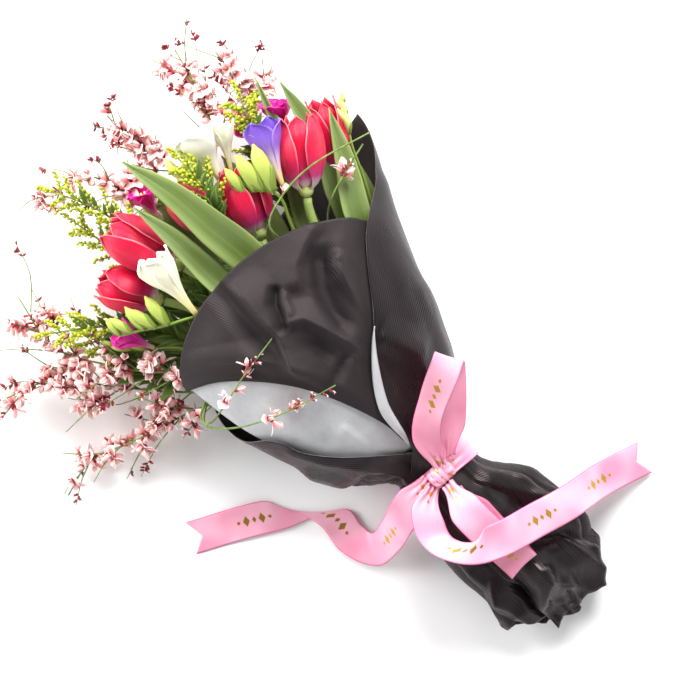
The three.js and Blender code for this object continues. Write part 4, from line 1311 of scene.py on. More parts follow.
        # a pale pink silk with gold marks and painted sheen and shade, and its matt back without the marks,
        # in a deeper pink that paints the shade inside the loops
        satin = SatinWeave("pink_polyester_satin").made()
        # painted shade: the back's deeper pink stands in partly for the shade inside the loops; its matt
        # gloss is the real reverse
        back = SatinWeave("pink_satin_matt_back", "#eda0b8", "#d67898", gloss=0.5, printed=False).made()
        knot = self.knot(satin)
        yield knot
        draft = Draft()
        ring = math.pi * (self.bunch.half_width(0.0) + self.bunch.half_height(0.0) + 2.0)
        draft.sheet(*self.band_faces, self.band_at, self.ribbon, (self.width, ring), ring=True)
        band = draft.piece("satin_band", (satin,), "ribbon_band", "satin_ribbon")
        yield band
        for strip in self.strips:
            draft = Draft()
            at, length = strip.at()
            draft.sheet(
                strip.columns, strip.steps, at, self.ribbon, (self.width, length), reverse=strip.back
            )
            node = strip.name.replace("satin", "ribbon")
            piece = draft.piece(strip.name, (satin, back), node, "satin_ribbon")
            yield piece


# --- stems
@dataclass(frozen=True)
class Stem:
    """A stem: its node, its radius, where it leaves the bundle, its way on, and its forks."""

    node: str
    radius: float
    neck: Point
    way: tuple[Point, ...]
    forks: tuple[tuple[Point, ...], ...] = ()


TULIP, FREESIA, GOLDENROD, BROOM = 3.6, 1.9, 1.7, 1.3  # stem radii

STEMS: tuple[Stem, ...] = (
    Stem("tulip_1_stem", TULIP, (200, -67, 80), ((205, -70.7, 81),)),
    Stem("tulip_2_stem", TULIP, (202, -25, 72), ((207, -27.2, 73.3),)),
    Stem("tulip_3_stem", TULIP, (228, 24, 64), ((233, 25.5, 65),)),
    Stem("tulip_4_stem", TULIP, (222, 50, 55), ((227, 52.8, 56),)),
    Stem("tulip_5_stem", TULIP, (194, -94, 54), ((199, -96.9, 55.2),)),
    Stem("tulip_6_stem", TULIP, (230, -8, 42), ((235, -8, 42.8),)),
    Stem(
        "freesia_white_stem", FREESIA, (238, -30, 74),
        ((252, -31, 78), (264, -24, 85), (276, -18, 89)),
    ),
    Stem(
        "freesia_purple_stem", FREESIA, (201, -50, 86),
        ((216, -57, 95), (224, -56, 98), (232, -49, 99), (237, -42, 99)),
    ),
    Stem(
        "freesia_cream_stem", FREESIA, (196, 36, 80),
        ((204, 48, 84), (212, 63, 84), (222, 78, 82), (230, 91, 80)),
    ),
    Stem("freesia_right_stem", FREESIA, (236, -82, 46), ((247, -86, 52), (257, -91, 54))),
    Stem("freesia_middle_stem", FREESIA, (262, 18, 32), ((272, 16, 38), (281, 13, 42))),
    Stem("freesia_left_stem", FREESIA, (196, 70, 44), ((206, 80, 48), (217, 92, 50), (229, 101, 48))),
    Stem(
        "freesia_edge_stem", FREESIA, (192, -112, 62),
        ((210, -120, 68), (224, -129, 71), (234, -136, 74)),
    ),
    Stem(
        "goldenrod_1", GOLDENROD, (262, 34, 40),
        ((284, 36, 50), (306, 40, 58), (322, 46, 61), (336, 53, 62)),
    ),
    Stem("goldenrod_2", GOLDENROD, (244, 50, 26), ((262, 52, 36), (284, 54, 44), (308, 58, 47))),
    Stem("goldenrod_3", GOLDENROD, (214, 72, 32), ((232, 84, 38), (250, 102, 50), (266, 124, 58))),
    Stem("goldenrod_4", GOLDENROD, (186, 84, 26), ((204, 98, 32), (228, 106, 38), (250, 112, 40))),
    Stem("goldenrod_5", GOLDENROD, (244, -70, 62), ((258, -74, 70), (272, -80, 72), (286, -86, 74))),
    Stem("goldenrod_6", GOLDENROD, (230, -10, 84), ((246, -20, 92), (264, -26, 97), (284, -26, 98))),
    Stem("broom_1", BROOM, (262, -50, 44), ((290, -62, 48), (320, -72, 50), (350, -80, 50))),
    Stem("broom_2", BROOM, (256, -76, 30), ((282, -90, 36), (304, -100, 42), (326, -102, 48))),
    Stem("broom_3", BROOM, (280, -20, 34), ((306, -16, 46), (330, -12, 53), (350, -12, 56))),
    Stem("broom_4", BROOM, (270, 0, 20), ((290, 12, 34), (310, 20, 44), (332, 30, 50), (342, 70, 54))),
    Stem(
        "broom_5", BROOM, (150, 70, 34),
        ((182, 100, 34), (216, 128, 30), (246, 152, 28), (262, 188, 24)),
    ),
    Stem("broom_6", BROOM, (138, 60, 37), ((156, 92, 31), (172, 140, 18), (186, 180, 9), (180, 208, 6))),
    Stem(
        "broom_7", BROOM, (166, 58, 44),
        ((194, 92, 50), (226, 116, 44), (262, 134, 42), (304, 126, 48)),
        (
            ((150, 92, 64), (141, 87, 90), (147, 52, 98.5), (152, 16, 104.5)),
            ((146, 94, 56), (128, 81, 82), (111, 50, 93), (98, 8, 94)),
        ),
    ),
    Stem(
        "broom_8", BROOM, (188, -38, 88),
        ((209, -38, 101), (217, -62, 107), (217, -87, 108), (205, -133, 103)),
    ),
    Stem("broom_9", BROOM, (186, -72, 80), ((193, -84, 92), (199, -106, 98), (203, -124, 99))),
)  # fmt: skip


BY_NODE = {stem.node: stem for stem in STEMS}


def whole_line(routes: Routes, node: str) -> Way:
    """A stem's line from its cut end to the end of its way."""
    return Way((*routes[node], *BY_NODE[node].way))


@dataclass
class Bundle:
    """The stems side by side, from their cut ends in the foot through the waist to their necks."""

    bunch: Bunch
    stem_end: float = -112.0
    stations: tuple[float, ...] = (-112, -12, 12, 34, 60, 92, 130, 170, 210)
    gap: float = 0.5  # between two stems
    sheets: float = 5.4  # how deep the sheets over the stems lie, and how deep before they start
    one_sheet: float = 1.3
    sheets_from: float = 24.0
    paper: float = 0.8
    air: float = 0.35  # between the stems and the paper
    before_neck: float = 14.0  # where a stem has to run towards its flower
    spread: float = 0.12  # how much of the flowers' spread the waist keeps
    flower_height: float = 52.0
    flare: float = 0.2  # how much wider the cut ends stand than the waist
    waist_rounds: int = 400
    waist_pull: float = 0.01
    rounds: int = 150
    quick_rounds: int = 40

    def room(self, x: float) -> tuple[float, float, float, float]:
        """The middle and the half sizes of the stems' room inside the wrapper at x."""
        sheets = self.sheets if x > self.sheets_from else self.one_sheet
        depth = sheets + self.paper + self.air + 2.0 * self.bunch.pleat_depth(x)
        return (
            self.bunch.middle(x),
            self.bunch.axis_height(x),
            self.bunch.half_width(x) - depth,
            self.bunch.half_height(x) - depth,
        )

    def push_apart(self, a: Spot, b: Spot, c: Spot, d: Spot, t: float, room: float) -> None:
        """Pushes two stems apart where they are too near.

        Args:
            a: a spot of the first stem.
            b: its next spot.
            c: the same spot of the second stem.
            d: its next spot.
            t: where between the spots they are compared.
            room: how far apart their middles have to be.
        """
        s = 1.0 - t
        x = a[0] * s + b[0] * t - c[0] * s - d[0] * t
        y = a[1] * s + b[1] * t - c[1] * s - d[1] * t
        z = a[2] * s + b[2] * t - c[2] * s - d[2] * t
        far = math.sqrt(x * x + y * y + z * z)
        if far >= room or far < 1e-9:
            return
        push = (room - far) / 2.0 / (s * s + t * t) / far
        for k, part in enumerate((x * push, y * push, z * push)):
            a[k] += part * s
            c[k] -= part * s
            b[k] += part * t
            d[k] -= part * t

    def settle(self, ropes: list[Rope], rounds: int, pull: float = 0.0) -> None:
        """Settles the stems side by side.

        Args:
            ropes: each stem's radius and spots, which are moved.
            rounds: how often to go over them.
            pull: how strongly they are drawn together.
        """
        pairs = [
            (one[k], one[after], two[k], two[after], t, thick + thin + self.gap)
            for i, (thick, one) in enumerate(ropes)
            for thin, two in ropes[:i]
            for shared in (min(len(one), len(two)),)
            for k in range(shared)
            for after in (min(k + 1, shared - 1),)
            for t in ((0.0, 0.25, 0.5, 0.75) if k + 1 < shared else (0.0,))
        ]
        for _ in range(rounds):
            if pull:
                for _, spots in ropes:
                    for spot in spots:
                        y, z, _, _ = self.room(spot[0])
                        spot[1] += (y - spot[1]) * pull
                        spot[2] += (z - spot[2]) * pull
            for a, b, c, d, t, room in pairs:
                self.push_apart(a, b, c, d, t, room)
            for radius, spots in ropes:
                for spot in spots:
                    y, z, wide, high = self.room(spot[0])
                    dy, dz = spot[1] - y, spot[2] - z
                    out = max(1.0, math.hypot(dy / (wide - radius), dz / (high - radius)))
                    spot[1] = y + dy / out
                    spot[2] = z + dz / out

    def routes(self) -> Routes:
        """Runs every stem through the bundle.

        Returns:
            The points of each stem's line by its node, from its cut end to its neck.
        """
        centre = self.bunch.axis_height(0.0)
        packed: list[Rope] = []
        for stem in STEMS:
            _, y, z = stem.neck
            spot = [0.0, y * self.spread, centre + (z - self.flower_height) * self.spread]
            packed.append((stem.radius, [spot]))
        self.settle(packed, self.waist_rounds, self.waist_pull)
        ropes: list[Rope] = []
        for stem, (_, [[_, y, z]]) in zip(STEMS, packed):
            neck = Vector(stem.neck)
            aim = neck - (Vector(stem.way[0]) - neck).normalized() * self.before_neck
            spots = []
            for x in self.stations:
                if x >= neck.x - self.before_neck / 2.0:
                    continue
                flare = 1.0 + (self.flare * x) / self.stem_end if x < 0 else 1.0
                height = self.bunch.axis_height(min(x, 0.0)) + (z - centre) * flare
                t = clamp((x - self.bunch.waist) / (aim.x - self.bunch.waist))
                spots.append([x, mix(y * flare, aim.y, t), mix(height, aim.z, t)])
            ropes.append((stem.radius, spots))
        self.settle(ropes, self.rounds)
        return {
            stem.node: [*(Vector(spot) for spot in spots), Vector(stem.neck)]
            for stem, (_, spots) in zip(STEMS, ropes)
        }


# --- tulips
@dataclass(frozen=True)
class Leaf:
    """A blade of a tulip: where it leaves the stem, its way, half width, roll and cup."""

    start: float
    way: tuple[Point, ...]
    half: float
    roll: float
    cup: float


@dataclass(frozen=True)
class Tulip:
    """A tulip: its number, the bloom's axis, radius and turn, and its leaves."""

    node: str
    axis: Point
    radius: float
    turn: float
    leaves: tuple[Leaf, ...]


@dataclass
class Tulips:
    """Six tulips: closed goblets of six petals, smooth stems and broad waxy leaves."""

    routes: Routes
    petal: float = 0.5
    leaf: float = 0.8
    seat: float = 2.2  # how far the receptacle's middle stands above the petals' foot
    knob: float = 0.32  # its radius, as a share of the bloom's
    petal_faces: tuple[int, int] = (16, 22)
    leaf_faces: tuple[int, int] = (14, 46)
    petal_width: Profile = Profile(
        (0, 0.42), (0.3, 0.93), (0.55, 1), (0.8, 0.8), (0.93, 0.5), (1, 0.05)
    )
    petal_reach: Profile = Profile(
        (0, 0.2), (0.12, 0.55), (0.28, 0.84), (0.5, 1), (0.75, 0.94), (1, 0.62)
    )
    leaf_width: Profile = Profile(
        (0, 0.34), (0.25, 0.7), (0.55, 1), (0.8, 0.7), (0.93, 0.34), (1, 0.03)
    )
    tulips: tuple[Tulip, ...] = (
        Tulip("tulip_1", (44, -33, 8), 17, 0.5, (
            Leaf(110, (
                (179, -84, 62), (195, -90, 66), (222, -103, 72), (248, -109, 78), (276, -115, 82),
            ), 10.5, -25, 0.25),
            Leaf(110, ((196, -58, 62), (244, -88, 68), (268, -96, 72), (292, -105, 76)), 6, 0, 0.3),
        )),
        Tulip("tulip_2", (46, -20, 12), 18.5, 0.1, (
            Leaf(100, (
                (178, -12, 82), (210, -12, 91), (236, -9, 100), (270, -6, 104), (312, 3, 101),
            ), 13, 8, 0.2),
        )),
        Tulip("tulip_3", (55, 17, 10), 18, 0.3, (
            Leaf(125, ((180, 12, 80), (214, 15, 88), (252, 16, 95), (285, 20, 97)), 10, -10, 0.25),
        )),
        Tulip("tulip_4", (40, 22, 8), 16, 0.8, (
            Leaf(125, ((186, 34, 26), (230, 34, 18), (282, 40, 24)), 11, 200, 0.25),
        )),
        Tulip("tulip_5", (49, -28, 12), 16, 0.2, (
            Leaf(110, ((160, -82, 74), (176, -89, 80), (204, -107, 82), (239, -126, 83)), 10, -20, 0.25),
            Leaf(100, ((150, -88, 46), (172, -101, 48), (206, -118, 42)), 11, -50, 0.3),
        )),
        Tulip("tulip_6", (46, 0, 8), 15, 0.7, (
            Leaf(125, ((180, -50, 18), (220, -70, 15), (262, -86, 20)), 11, 165, 0.25),
            Leaf(135, ((176, 2, 36), (212, 5, 27), (252, 7, 25), (304, 11, 27)), 15, 5, 0.2),
            Leaf(135, ((176, -24, 40), (212, -36, 34), (246, -46, 34), (274, -50, 38)), 13, -10, 0.2),
        )),
    )  # fmt: skip

    def petal_at(
        self, base: Vector, axis: Vector, tulip: Tulip, number: int, draw: random.Random
    ) -> At:
        """Works out one petal.

        Args:
            base: the foot of the bloom.
            axis: from there to its tip.
            tulip: the tulip.
            number: which of its six petals; every other one stands further in.
            draw: gives the petal its own small differences.

        Returns:
            What gives its points.
        """
        along = axis.normalized()
        side = across(along)
        over = side.cross(along)
        inward = 0.19 * tulip.radius * (number % 2)
        middle = tulip.turn + number * math.pi / 3.0
        tall = draw.uniform(0.94, 1.04)
        flare = draw.uniform(-0.04, 0.1)
        phase = draw.uniform(0.0, 6.0)

        def at(u: float, v: float) -> Vector:
            """A point of the petal."""
            t = mix(v, math.sin(v * math.pi / 2.0), 0.45)
            out = 2.0 * u - 1.0
            angle = middle + out * math.radians(50.0) * self.petal_width(t)
            wavy = 0.035 * math.sin(9.0 * t + phase + 2.0 * out) * abs(out) ** 2 * ease(t, 0.3, 0.9)
            curl = 0.08 * abs(out) ** 3 * ease(t, 0.2, 0.7) + flare * t * t
            groove = -0.045 * math.exp(-((out / 0.16) ** 2)) * math.sin(math.pi * t)
            reach = tulip.radius * (self.petal_reach(t) + wavy + curl + groove) - inward
            tip = 0.02 * math.sin(3.0 * out + phase) * t
            spot = base + axis * (t * tall + tip)
            return spot + turned(side, over, angle) * reach

        return at

    def blade_at(self, leaf: Leaf, route: Sequence[Vector], seed: float) -> At:
        """Works out a leaf.

        Args:
            leaf: the leaf.
            route: its stem's line.
            seed: gives its waves their own places.

        Returns:
            What gives its points.
        """
        root = [spot for spot in route if spot.x <= leaf.start][-1]
        way = Way((root, *leaf.way))
        roll = math.radians(leaf.roll)
        facing = Vector((0.0, math.sin(roll), math.cos(roll)))

        def at(u: float, v: float) -> Vector:
            """A point of the leaf."""
            ahead = way.ahead(v)
            side = across(ahead, facing)
            over = side.cross(ahead)
            out = 2.0 * u - 1.0
            half = leaf.half * self.leaf_width(v)
            ripple = math.sin(way.length * v / 15.0 + seed + 2.0 * out)
            wave = 1.1 * abs(out) ** 3 * ripple * ease(v, 0.3, 0.6)
            keel = -0.5 * math.exp(-((out / 0.12) ** 2)) * ease(v, 0.1, 0.4)
            return way.at(v) + side * (out * half) + over * (leaf.cup * half * out * out + wave + keel)

        return at

    def build(self) -> Iterable[Object]:
        """Builds each tulip's bloom, and its stem with the leaves.

        Returns:
            The pieces, each standing for its node.
        """
        # crimson with a silk gloss, cream at the foot and pink at the rim
        petal = PetalSkin(
            "tulip_petal_silk",
            (
                (0.0, "#efe9c8"), (0.09, "#f3dfe0"), (0.17, "#d2438a"), (0.27, "#d00a50"),
                (0.5, "#d6063c"), (0.8, "#dc1242"), (1.0, "#e83656"),
            ),
            "#f38790", 0.9, 46.0, 0.28,
        ).made()  # fmt: skip
        # the pale knob that the petals sit on, blue-green wax, and a stem of a lighter green
        heart = GreenSkin("tulip_receptacle", "#d5dc8c", "#9fb35a").made()
        leaf = LeafSkin("tulip_leaf_waxy").made()
        greens = ("#93aa52", "#7b953f", "#a3b57c", "#a3b868", "#a9bb70")
        stalk = LeafSkin("tulip_stem_smooth", *greens, 12.0).made()
        for number, tulip in enumerate(self.tulips):
            node = f"{tulip.node}_stem"
            axis = Vector(tulip.axis)
            along = axis.normalized()
            base = Vector(BY_NODE[node].way[0]) + along * (tulip.radius * 0.34 - self.seat)
            draw = random.Random(40 + number)
            bloom = Draft()
            for k in range(6):
                bloom.sheet(*self.petal_faces, self.petal_at(base, axis, tulip, k, draw), self.petal)
            ball = bmesh.ops.create_icosphere(
                bloom.mesh,
                subdivisions=2,
                radius=tulip.radius * self.knob,
                matrix=Matrix.Translation(base + along * self.seat),
            )
            for face in {face: None for vert in ball["verts"] for face in vert.link_faces}:
                face.material_index = 1
                face.smooth = True
            name = f"{tulip.node}_petals"
            yield bloom.piece(name, (petal, heart), f"{tulip.node}_bloom", "tulip_petal")
            green = Draft()
            line = whole_line(self.routes, node)
            green.tube(line.samples(70), lambda t: TULIP * mix(1.0, 0.85, t), 14, 1)
            for k, each in enumerate(tulip.leaves):
                at = self.blade_at(each, self.routes[node], number + 3.0 * k)
                green.sheet(*self.leaf_faces, at, self.leaf)
            yield green.piece(f"{tulip.node}_leaves", (leaf, stalk), node, "tulip_green")


# --- freesias
@dataclass(frozen=True)
class BudRow:
    """The buds on a freesia's bent tip: how many, how long the first is, and where they lean."""

    stem: str
    count: int
    length: float
    lean: Point
    unripe: bool = False


class FreesiaColour(Enum):
    """The colours of the freesias, by the record's slot of their petals."""

    WHITE = "freesia_white_petal"
    CREAM = "freesia_cream_petal"
    PURPLE = "freesia_purple_petal"
    MAGENTA = "freesia_magenta_petal"


@dataclass(frozen=True)
class FreesiaBloom:
    """A freesia bloom: its foot, tip, radius, petals in a whorl and number of whorls."""

    name: str
    colour: FreesiaColour
    base: Point
    tip: Point
    radius: float
    petals: int = 3
    whorls: int = 2


@dataclass
class Freesias:
    """Freesias: funnels of overlapping petals, and rows of buds on bent tips."""

    routes: Routes
    petal: float = 0.5
    bract: float = 0.3
    petal_faces: tuple[int, int] = (12, 18)
    bract_faces: tuple[int, int] = (6, 6)
    reach: Profile = Profile(
        (0, 0.13), (0.28, 0.24), (0.5, 0.48), (0.68, 0.8), (0.85, 0.97), (1, 1.04)
    )
    width: Profile = Profile(
        (0, 1.1), (0.35, 1.1), (0.6, 1.12), (0.8, 1.0), (0.93, 0.62), (1, 0.12)
    )
    rows: tuple[BudRow, ...] = (
        BudRow("freesia_white_stem", 3, 30, (1, 0.1, 0.12)),
        BudRow("freesia_purple_stem", 4, 36, (1, -0.25, 0.14), True),
        BudRow("freesia_cream_stem", 5, 26, (1, 0.05, 0.05), True),
        BudRow("freesia_right_stem", 2, 16, (0.8, -0.4, 0.2)),
        BudRow("freesia_middle_stem", 2, 16, (1, 0.2, 0.2)),
        BudRow("freesia_left_stem", 3, 18, (0.8, 0.5, 0.1), True),
        BudRow("freesia_edge_stem", 5, 17, (0.8, -0.35, 0.3)),
    )
    blooms: tuple[FreesiaBloom, ...] = (
        FreesiaBloom("white", FreesiaColour.WHITE, (255, -36, 78), (295, -47, 85), 16),
        FreesiaBloom("white_side", FreesiaColour.CREAM, (256, -46, 80), (286, -66, 88), 8),
        FreesiaBloom("purple", FreesiaColour.PURPLE, (222, -64, 93), (265, -84, 93), 12.5),
        FreesiaBloom("cream", FreesiaColour.CREAM, (202, 42, 85.4), (253, 37, 97), 13, 3, 3),
        FreesiaBloom("magenta_1", FreesiaColour.MAGENTA, (250, -92, 58), (271, -104, 66), 10.5),
        FreesiaBloom("magenta_2", FreesiaColour.MAGENTA, (250.3, -86, 54.2), (280, -75, 61), 9),
        FreesiaBloom("magenta_3", FreesiaColour.MAGENTA, (275, 13.5, 42.2), (298, 9, 54), 10),
        FreesiaBloom("magenta_4", FreesiaColour.MAGENTA, (209, 82, 54), (234, 92, 64), 10),
    )

    def bud(self, draft: Draft, root: Vector, tip: Vector, radius: float) -> None:
        """Adds a bud: a slim drop held by two green bracts.

        Args:
            draft: what it is added to.
            root: its foot.
            tip: its point.
            radius: its greatest radius.
        """
        shape = Profile((0, 0.42), (0.25, 0.8), (0.55, 1), (0.82, 0.72), (1, 0.12))
        way = Way((root, root.lerp(tip, 0.5) + UP * radius * 0.3, tip))
        draft.tube(way.samples(11), lambda t: radius * shape(t), 12, 1)
        along = (tip - root).normalized()
        side = across(along)
        over = side.cross(along)
        for turn in (0.4, 0.4 + math.pi):

            def bract(u: float, v: float, turn: float = turn) -> Vector:
                """A point of a bract, wrapped round the bud's foot."""
                angle = turn + (2.0 * u - 1.0) * 1.25 * (1.0 - 0.85 * v**1.6)
                out = radius * (shape(v * 0.5) * 1.12 + 0.06)
                middle = way.at(v * 0.5)
                return middle + turned(side, over, angle) * out

            draft.sheet(*self.bract_faces, bract, self.bract)

    def bloom(self, bloom: FreesiaBloom, seed: int) -> Draft:
        """Draws a bloom.

        Args:
            bloom: what it is like.
            seed: gives its petals their own differences.

        Returns:
            The draft of its petals and stamens.
        """
        draw = random.Random(seed)
        base, tip = Vector(bloom.base), Vector(bloom.tip)
        axis = tip - base
        along = axis.normalized()
        side = across(along)
        over = side.cross(along)
        draft = Draft()
        per = math.tau / bloom.petals
        for whorl in range(bloom.whorls):
            for k in range(bloom.petals):
                middle = (k + 0.5 * (whorl % 2)) * per + 0.35 * (whorl // 2)
                tall = draw.uniform(0.96, 1.08) - 0.05 * whorl
                flare = draw.uniform(-0.05, 0.1)
                phase = draw.uniform(0.0, 6.0)
                inward = 1.0 - 0.13 * whorl

                own = (middle, tall, flare, phase, inward)

                def at(u: float, v: float, own: tuple[float, ...] = own) -> Vector:
                    """A point of a petal."""
                    middle, tall, flare, phase, inward = own
                    out = 2.0 * u - 1.0
                    angle = middle + out * per * 0.54 * self.width(v)
                    ruffle = 0.05 * math.sin(8.0 * out + phase) * ease(v, 0.6, 1.0)
                    curl = 0.09 * abs(out) ** 2 * ease(v, 0.5, 1.0) + flare * v * v
                    reach = bloom.radius * inward * (self.reach(v) + ruffle + curl)
                    spot = base + axis * (v * tall - 0.03 * abs(out) ** 2 * v)
                    return spot + turned(side, over, angle) * reach

                draft.sheet(*self.petal_faces, at, self.petal)
        for k in range(3):
            lean = turned(side, over, 2.1 * k) * bloom.radius * 0.2
            line = Way((base + axis * 0.3, base + axis * 0.6 + lean * 0.6, base + axis * 0.82 + lean))
            draft.tube(line.samples(6), Profile((0, 0.4), (0.7, 0.4), (0.8, 0.9), (1, 0.7)), 6, 1)
        return draft

    def build(self) -> Iterable[Object]:
        """Builds the stems with their buds, and the blooms.

        Returns:
            The pieces, each standing for its node.
        """
        # a fresh green stem, buds that ripen to yellow and to green, yellow anthers, and petals of
        # a thin matt silk that lets light through
        greens = ("#7f9a2e", "#5d7a22", "#8ea24c", "#7b9530", "#94a845")
        green = LeafSkin("freesia_stem_green", *greens, 10.0).made()
        bud = PetalSkin(
            "freesia_bud_skin",
            ((0.0, "#7b9a2c"), (0.3, "#a2b63c"), (0.6, "#c3cd54"), (0.85, "#dcdd78"), (1.0, "#e8e69a")),
            "#dfe08a", 0.9, 14.0, 0.25,
        ).made()  # fmt: skip
        green_bud = PetalSkin(
            "freesia_green_bud_skin",
            ((0.0, "#55781c"), (0.3, "#6f9228"), (0.6, "#87a534"), (0.85, "#a3b848"), (1.0, "#bcc862")),
            "#b3c25a", 0.9, 14.0, 0.3,
        ).made()  # fmt: skip
        pollen = GreenSkin("freesia_anther", "#f6e08a", "#e2c14c").made()
        petals = {
            FreesiaColour.WHITE: PetalSkin(
                "freesia_white_silk",
                ((0.0, "#dfe08c"), (0.2, "#f2efb6"), (0.4, "#fdfbe4"), (1.0, "#fffef8")),
                "#ffffff", 0.8, 26.0, 0.05,
            ),
            FreesiaColour.CREAM: PetalSkin(
                "freesia_cream_silk",
                ((0.0, "#e9c873"), (0.18, "#f5e9a6"), (0.42, "#fdf4cc"), (1.0, "#fffbe2")),
                "#fffdf0", 0.8, 26.0, 0.08,
            ),
            FreesiaColour.PURPLE: PetalSkin(
                "freesia_purple_silk",
                (
                    (0.0, "#e0b76a"), (0.2, "#e9cfa4"), (0.42, "#d9bfe0"), (0.62, "#9a72d8"),
                    (0.85, "#7c55c6"), (1.0, "#6d4bbd"),
                ),
                "#9d7fe0", 0.8, 30.0, 0.2,
            ),
            FreesiaColour.MAGENTA: PetalSkin(
                "freesia_magenta_silk",
                ((0.0, "#e8d9a0"), (0.22, "#d96aa8"), (0.5, "#d0148c"), (1.0, "#e4109b")),
                "#f02cae", 0.8, 26.0, 0.22,
            ),
        }  # fmt: skip
        dressed = {colour: finish.made() for colour, finish in petals.items()}
        for number, row in enumerate(self.rows):
            draft = Draft()
            line = whole_line(self.routes, row.stem)
            draft.tube(line.samples(80), lambda t: FREESIA * mix(1.0, 0.5, t), 10)
            tip_line = Way(BY_NODE[row.stem].way)
            for k in range(row.count):
                t = k / (row.count - 1)
                size = row.length * mix(1.0, 0.62, t)
                fan = Vector((0.0, 0.16 if k % 2 else -0.16, 0.1))
                root = tip_line.at(mix(0.3, 1.0, t))
                tip = root + (Vector(row.lean) + fan).normalized() * size
                self.bud(draft, root, tip, size * 0.17)
            name = row.stem.replace("_stem", "_buds")
            skin = green_bud if row.unripe else bud
            yield draft.piece(name, (green, skin), row.stem, "freesia_green")
        for number, bloom in enumerate(self.blooms):
            draft = self.bloom(bloom, 70 + number)
            name, finishes = f"freesia_{bloom.name}", (dressed[bloom.colour], pollen)
            yield draft.piece(f"{name}_petals", finishes, f"{name}_bloom", bloom.colour.value)


# --- goldenrod
@dataclass
class Goldenrods:
    """Goldenrod: sprays of bent branchlets, each a row of small yellow-green flower heads."""

    routes: Routes
    branchlets: int = 19
    heads: int = 13
    head: float = 1.25  # radius of a flower head
    leaf: float = 15.0  # length of a small leaf
    stem_leaves: int = 34

    def head_model(self) -> Mesh:
        """Draws a flower head: a drop on a short stalk."""
        draft = Draft()
        shape = Profile((0, 0.25), (0.2, 0.35), (0.35, 0.8), (0.62, 1), (0.85, 0.8), (1, 0.35))
        line = [Vector((x * self.head * 2.6, 0.0, 0.0)) for x in (0.0, 0.2, 0.36, 0.62, 0.85, 1.0)]
        draft.tube(line, lambda t: self.head * shape(t), 6, 1)
        return draft.model("goldenrod_head")

    def leaf_model(self) -> Mesh:
        """Draws a small lance-shaped leaf."""
        draft = Draft()
        width = Profile((0, 0.3), (0.35, 1), (0.7, 0.75), (1, 0.05))

        def at(u: float, v: float) -> Vector:
            """A point of the leaf, which arches and is folded along its middle."""
            out = 2.0 * u - 1.0
            rise = 2.4 * math.sin(2.2 * v) + 0.7 * abs(out) * width(v)
            return Vector((self.leaf * v, out * 2.2 * width(v), rise))

        draft.sheet(4, 8, at, 0.3, finish=2)
        return draft.model("goldenrod_leaf")

    def spray(self, node: str, seed: int, head: Mesh, leaf: Mesh) -> Draft:
        """Draws one spray.

        Args:
            node: the stem's node.
            seed: gives the spray its own form.
            head: the flower head's model.
            leaf: the leaf's model.

        Returns:
            The draft.
        """
        draw = random.Random(seed)
        stem = BY_NODE[node]
        draft = Draft()
        line = whole_line(self.routes, node)
        draft.tube(line.samples(80), lambda t: GOLDENROD * mix(1.0, 0.4, t), 8)
        tip_line = Way((stem.neck, *stem.way))
        for k in range(self.branchlets):
            t = mix(0.12, 1.0, k / (self.branchlets - 1))
            root, ahead = tip_line.at(t), tip_line.ahead(t)
            side = across(ahead) * (1.0 if k % 2 else -1.0)
            out = ahead * draw.uniform(0.5, 1.0) + side * draw.uniform(0.2, 1.0)
            out += UP * draw.uniform(-0.35, 0.7)
            if k == self.branchlets - 1:
                out = ahead
            out.normalize()
            length = mix(25.0, 13.0, t) * draw.uniform(0.85, 1.15)
            droop = Vector((draw.uniform(-0.1, 0.2), 0.0, draw.uniform(-0.35, 0.1))) * length
            twig = Way((root, root + out * length * 0.5, root + out * length + droop * 0.6))
            if not inside_room(twig.at(1.0), 3.0):
                continue
            draft.tube(twig.samples(8), lambda s: mix(0.6, 0.35, s), 5)
            for i in range(self.heads):
                s = mix(0.16, 1.0, i / (self.heads - 1))
                along = twig.ahead(s)
                turn = i * 2.4 + draw.uniform(-0.4, 0.4)
                square = across(along)
                around = turned(square, square.cross(along), turn)
                lean = along * 0.7 + around * (1.0 - 0.5 * s)
                place = facing_frame(twig.at(s), lean, UP, draw.uniform(0.7, 1.12))
                draft.copy(head, place)
            if k % 2 == 0 and t < 0.8:
                lean = ahead + side * -0.9 + UP * 0.2
                draft.copy(leaf, facing_frame(root, lean, UP, draw.uniform(0.7, 1.2)))
        low = stem.neck[2] < 50.0
        leafy = [spot for spot in line.samples(160) if spot.x > (172.0 if low else 196.0)]
        for k in range(self.stem_leaves):
            at = int(0.62 * len(leafy) * (k + draw.random()) / self.stem_leaves)
            place, ahead = leafy[at], (leafy[at + 2] - leafy[at]).normalized()
            side = across(ahead) * (1.0 if k % 2 else -1.0)
            lean = ahead * draw.uniform(0.7, 1.3) + side * draw.uniform(0.1, 1.0)
            lean += UP * draw.uniform(-0.25, 0.45)
            size = draw.uniform(0.9, 1.5) * (1.5 if low and at < 0.45 * len(leafy) else 1.0)
            roll = UP + side * draw.uniform(-0.8, 0.8)
            if inside_room(place + lean.normalized() * self.leaf * size, 1.0):
                draft.copy(leaf, facing_frame(place, lean, roll, size))
        return draft

    def build(self) -> Iterable[Object]:
        """Builds the six sprays.

        Returns:
            The pieces, each standing for its node.
        """
        # a plain green stalk, heads like a yellow-green powder, and dull leaves whose dark green is partly
        # painted shade
        stalk = GreenSkin("goldenrod_stem_green", "#8aa03c", "#5d7628").made()
        bloom = GreenSkin("goldenrod_head_yellow_green", "#ccd02e", "#8f9e20", 420.0, 0.6).made()
        # painted shade: these greens are darker than the leaves' own, to stand in for the shade among the
        # blooms
        greens = ("#5f7d2a", "#3f5a1e", "#6f8648", "#6b8636", "#768f3c")
        blade = LeafSkin("goldenrod_leaf_matt", *greens, 8.0).made()
        head, leaf = self.head_model(), self.leaf_model()
        for number in range(1, 7):
            node = f"goldenrod_{number}"
            draft = self.spray(node, 20 + number, head, leaf)
            yield draft.piece(f"{node}_spray", (stalk, bloom, blade), node, "goldenrod")


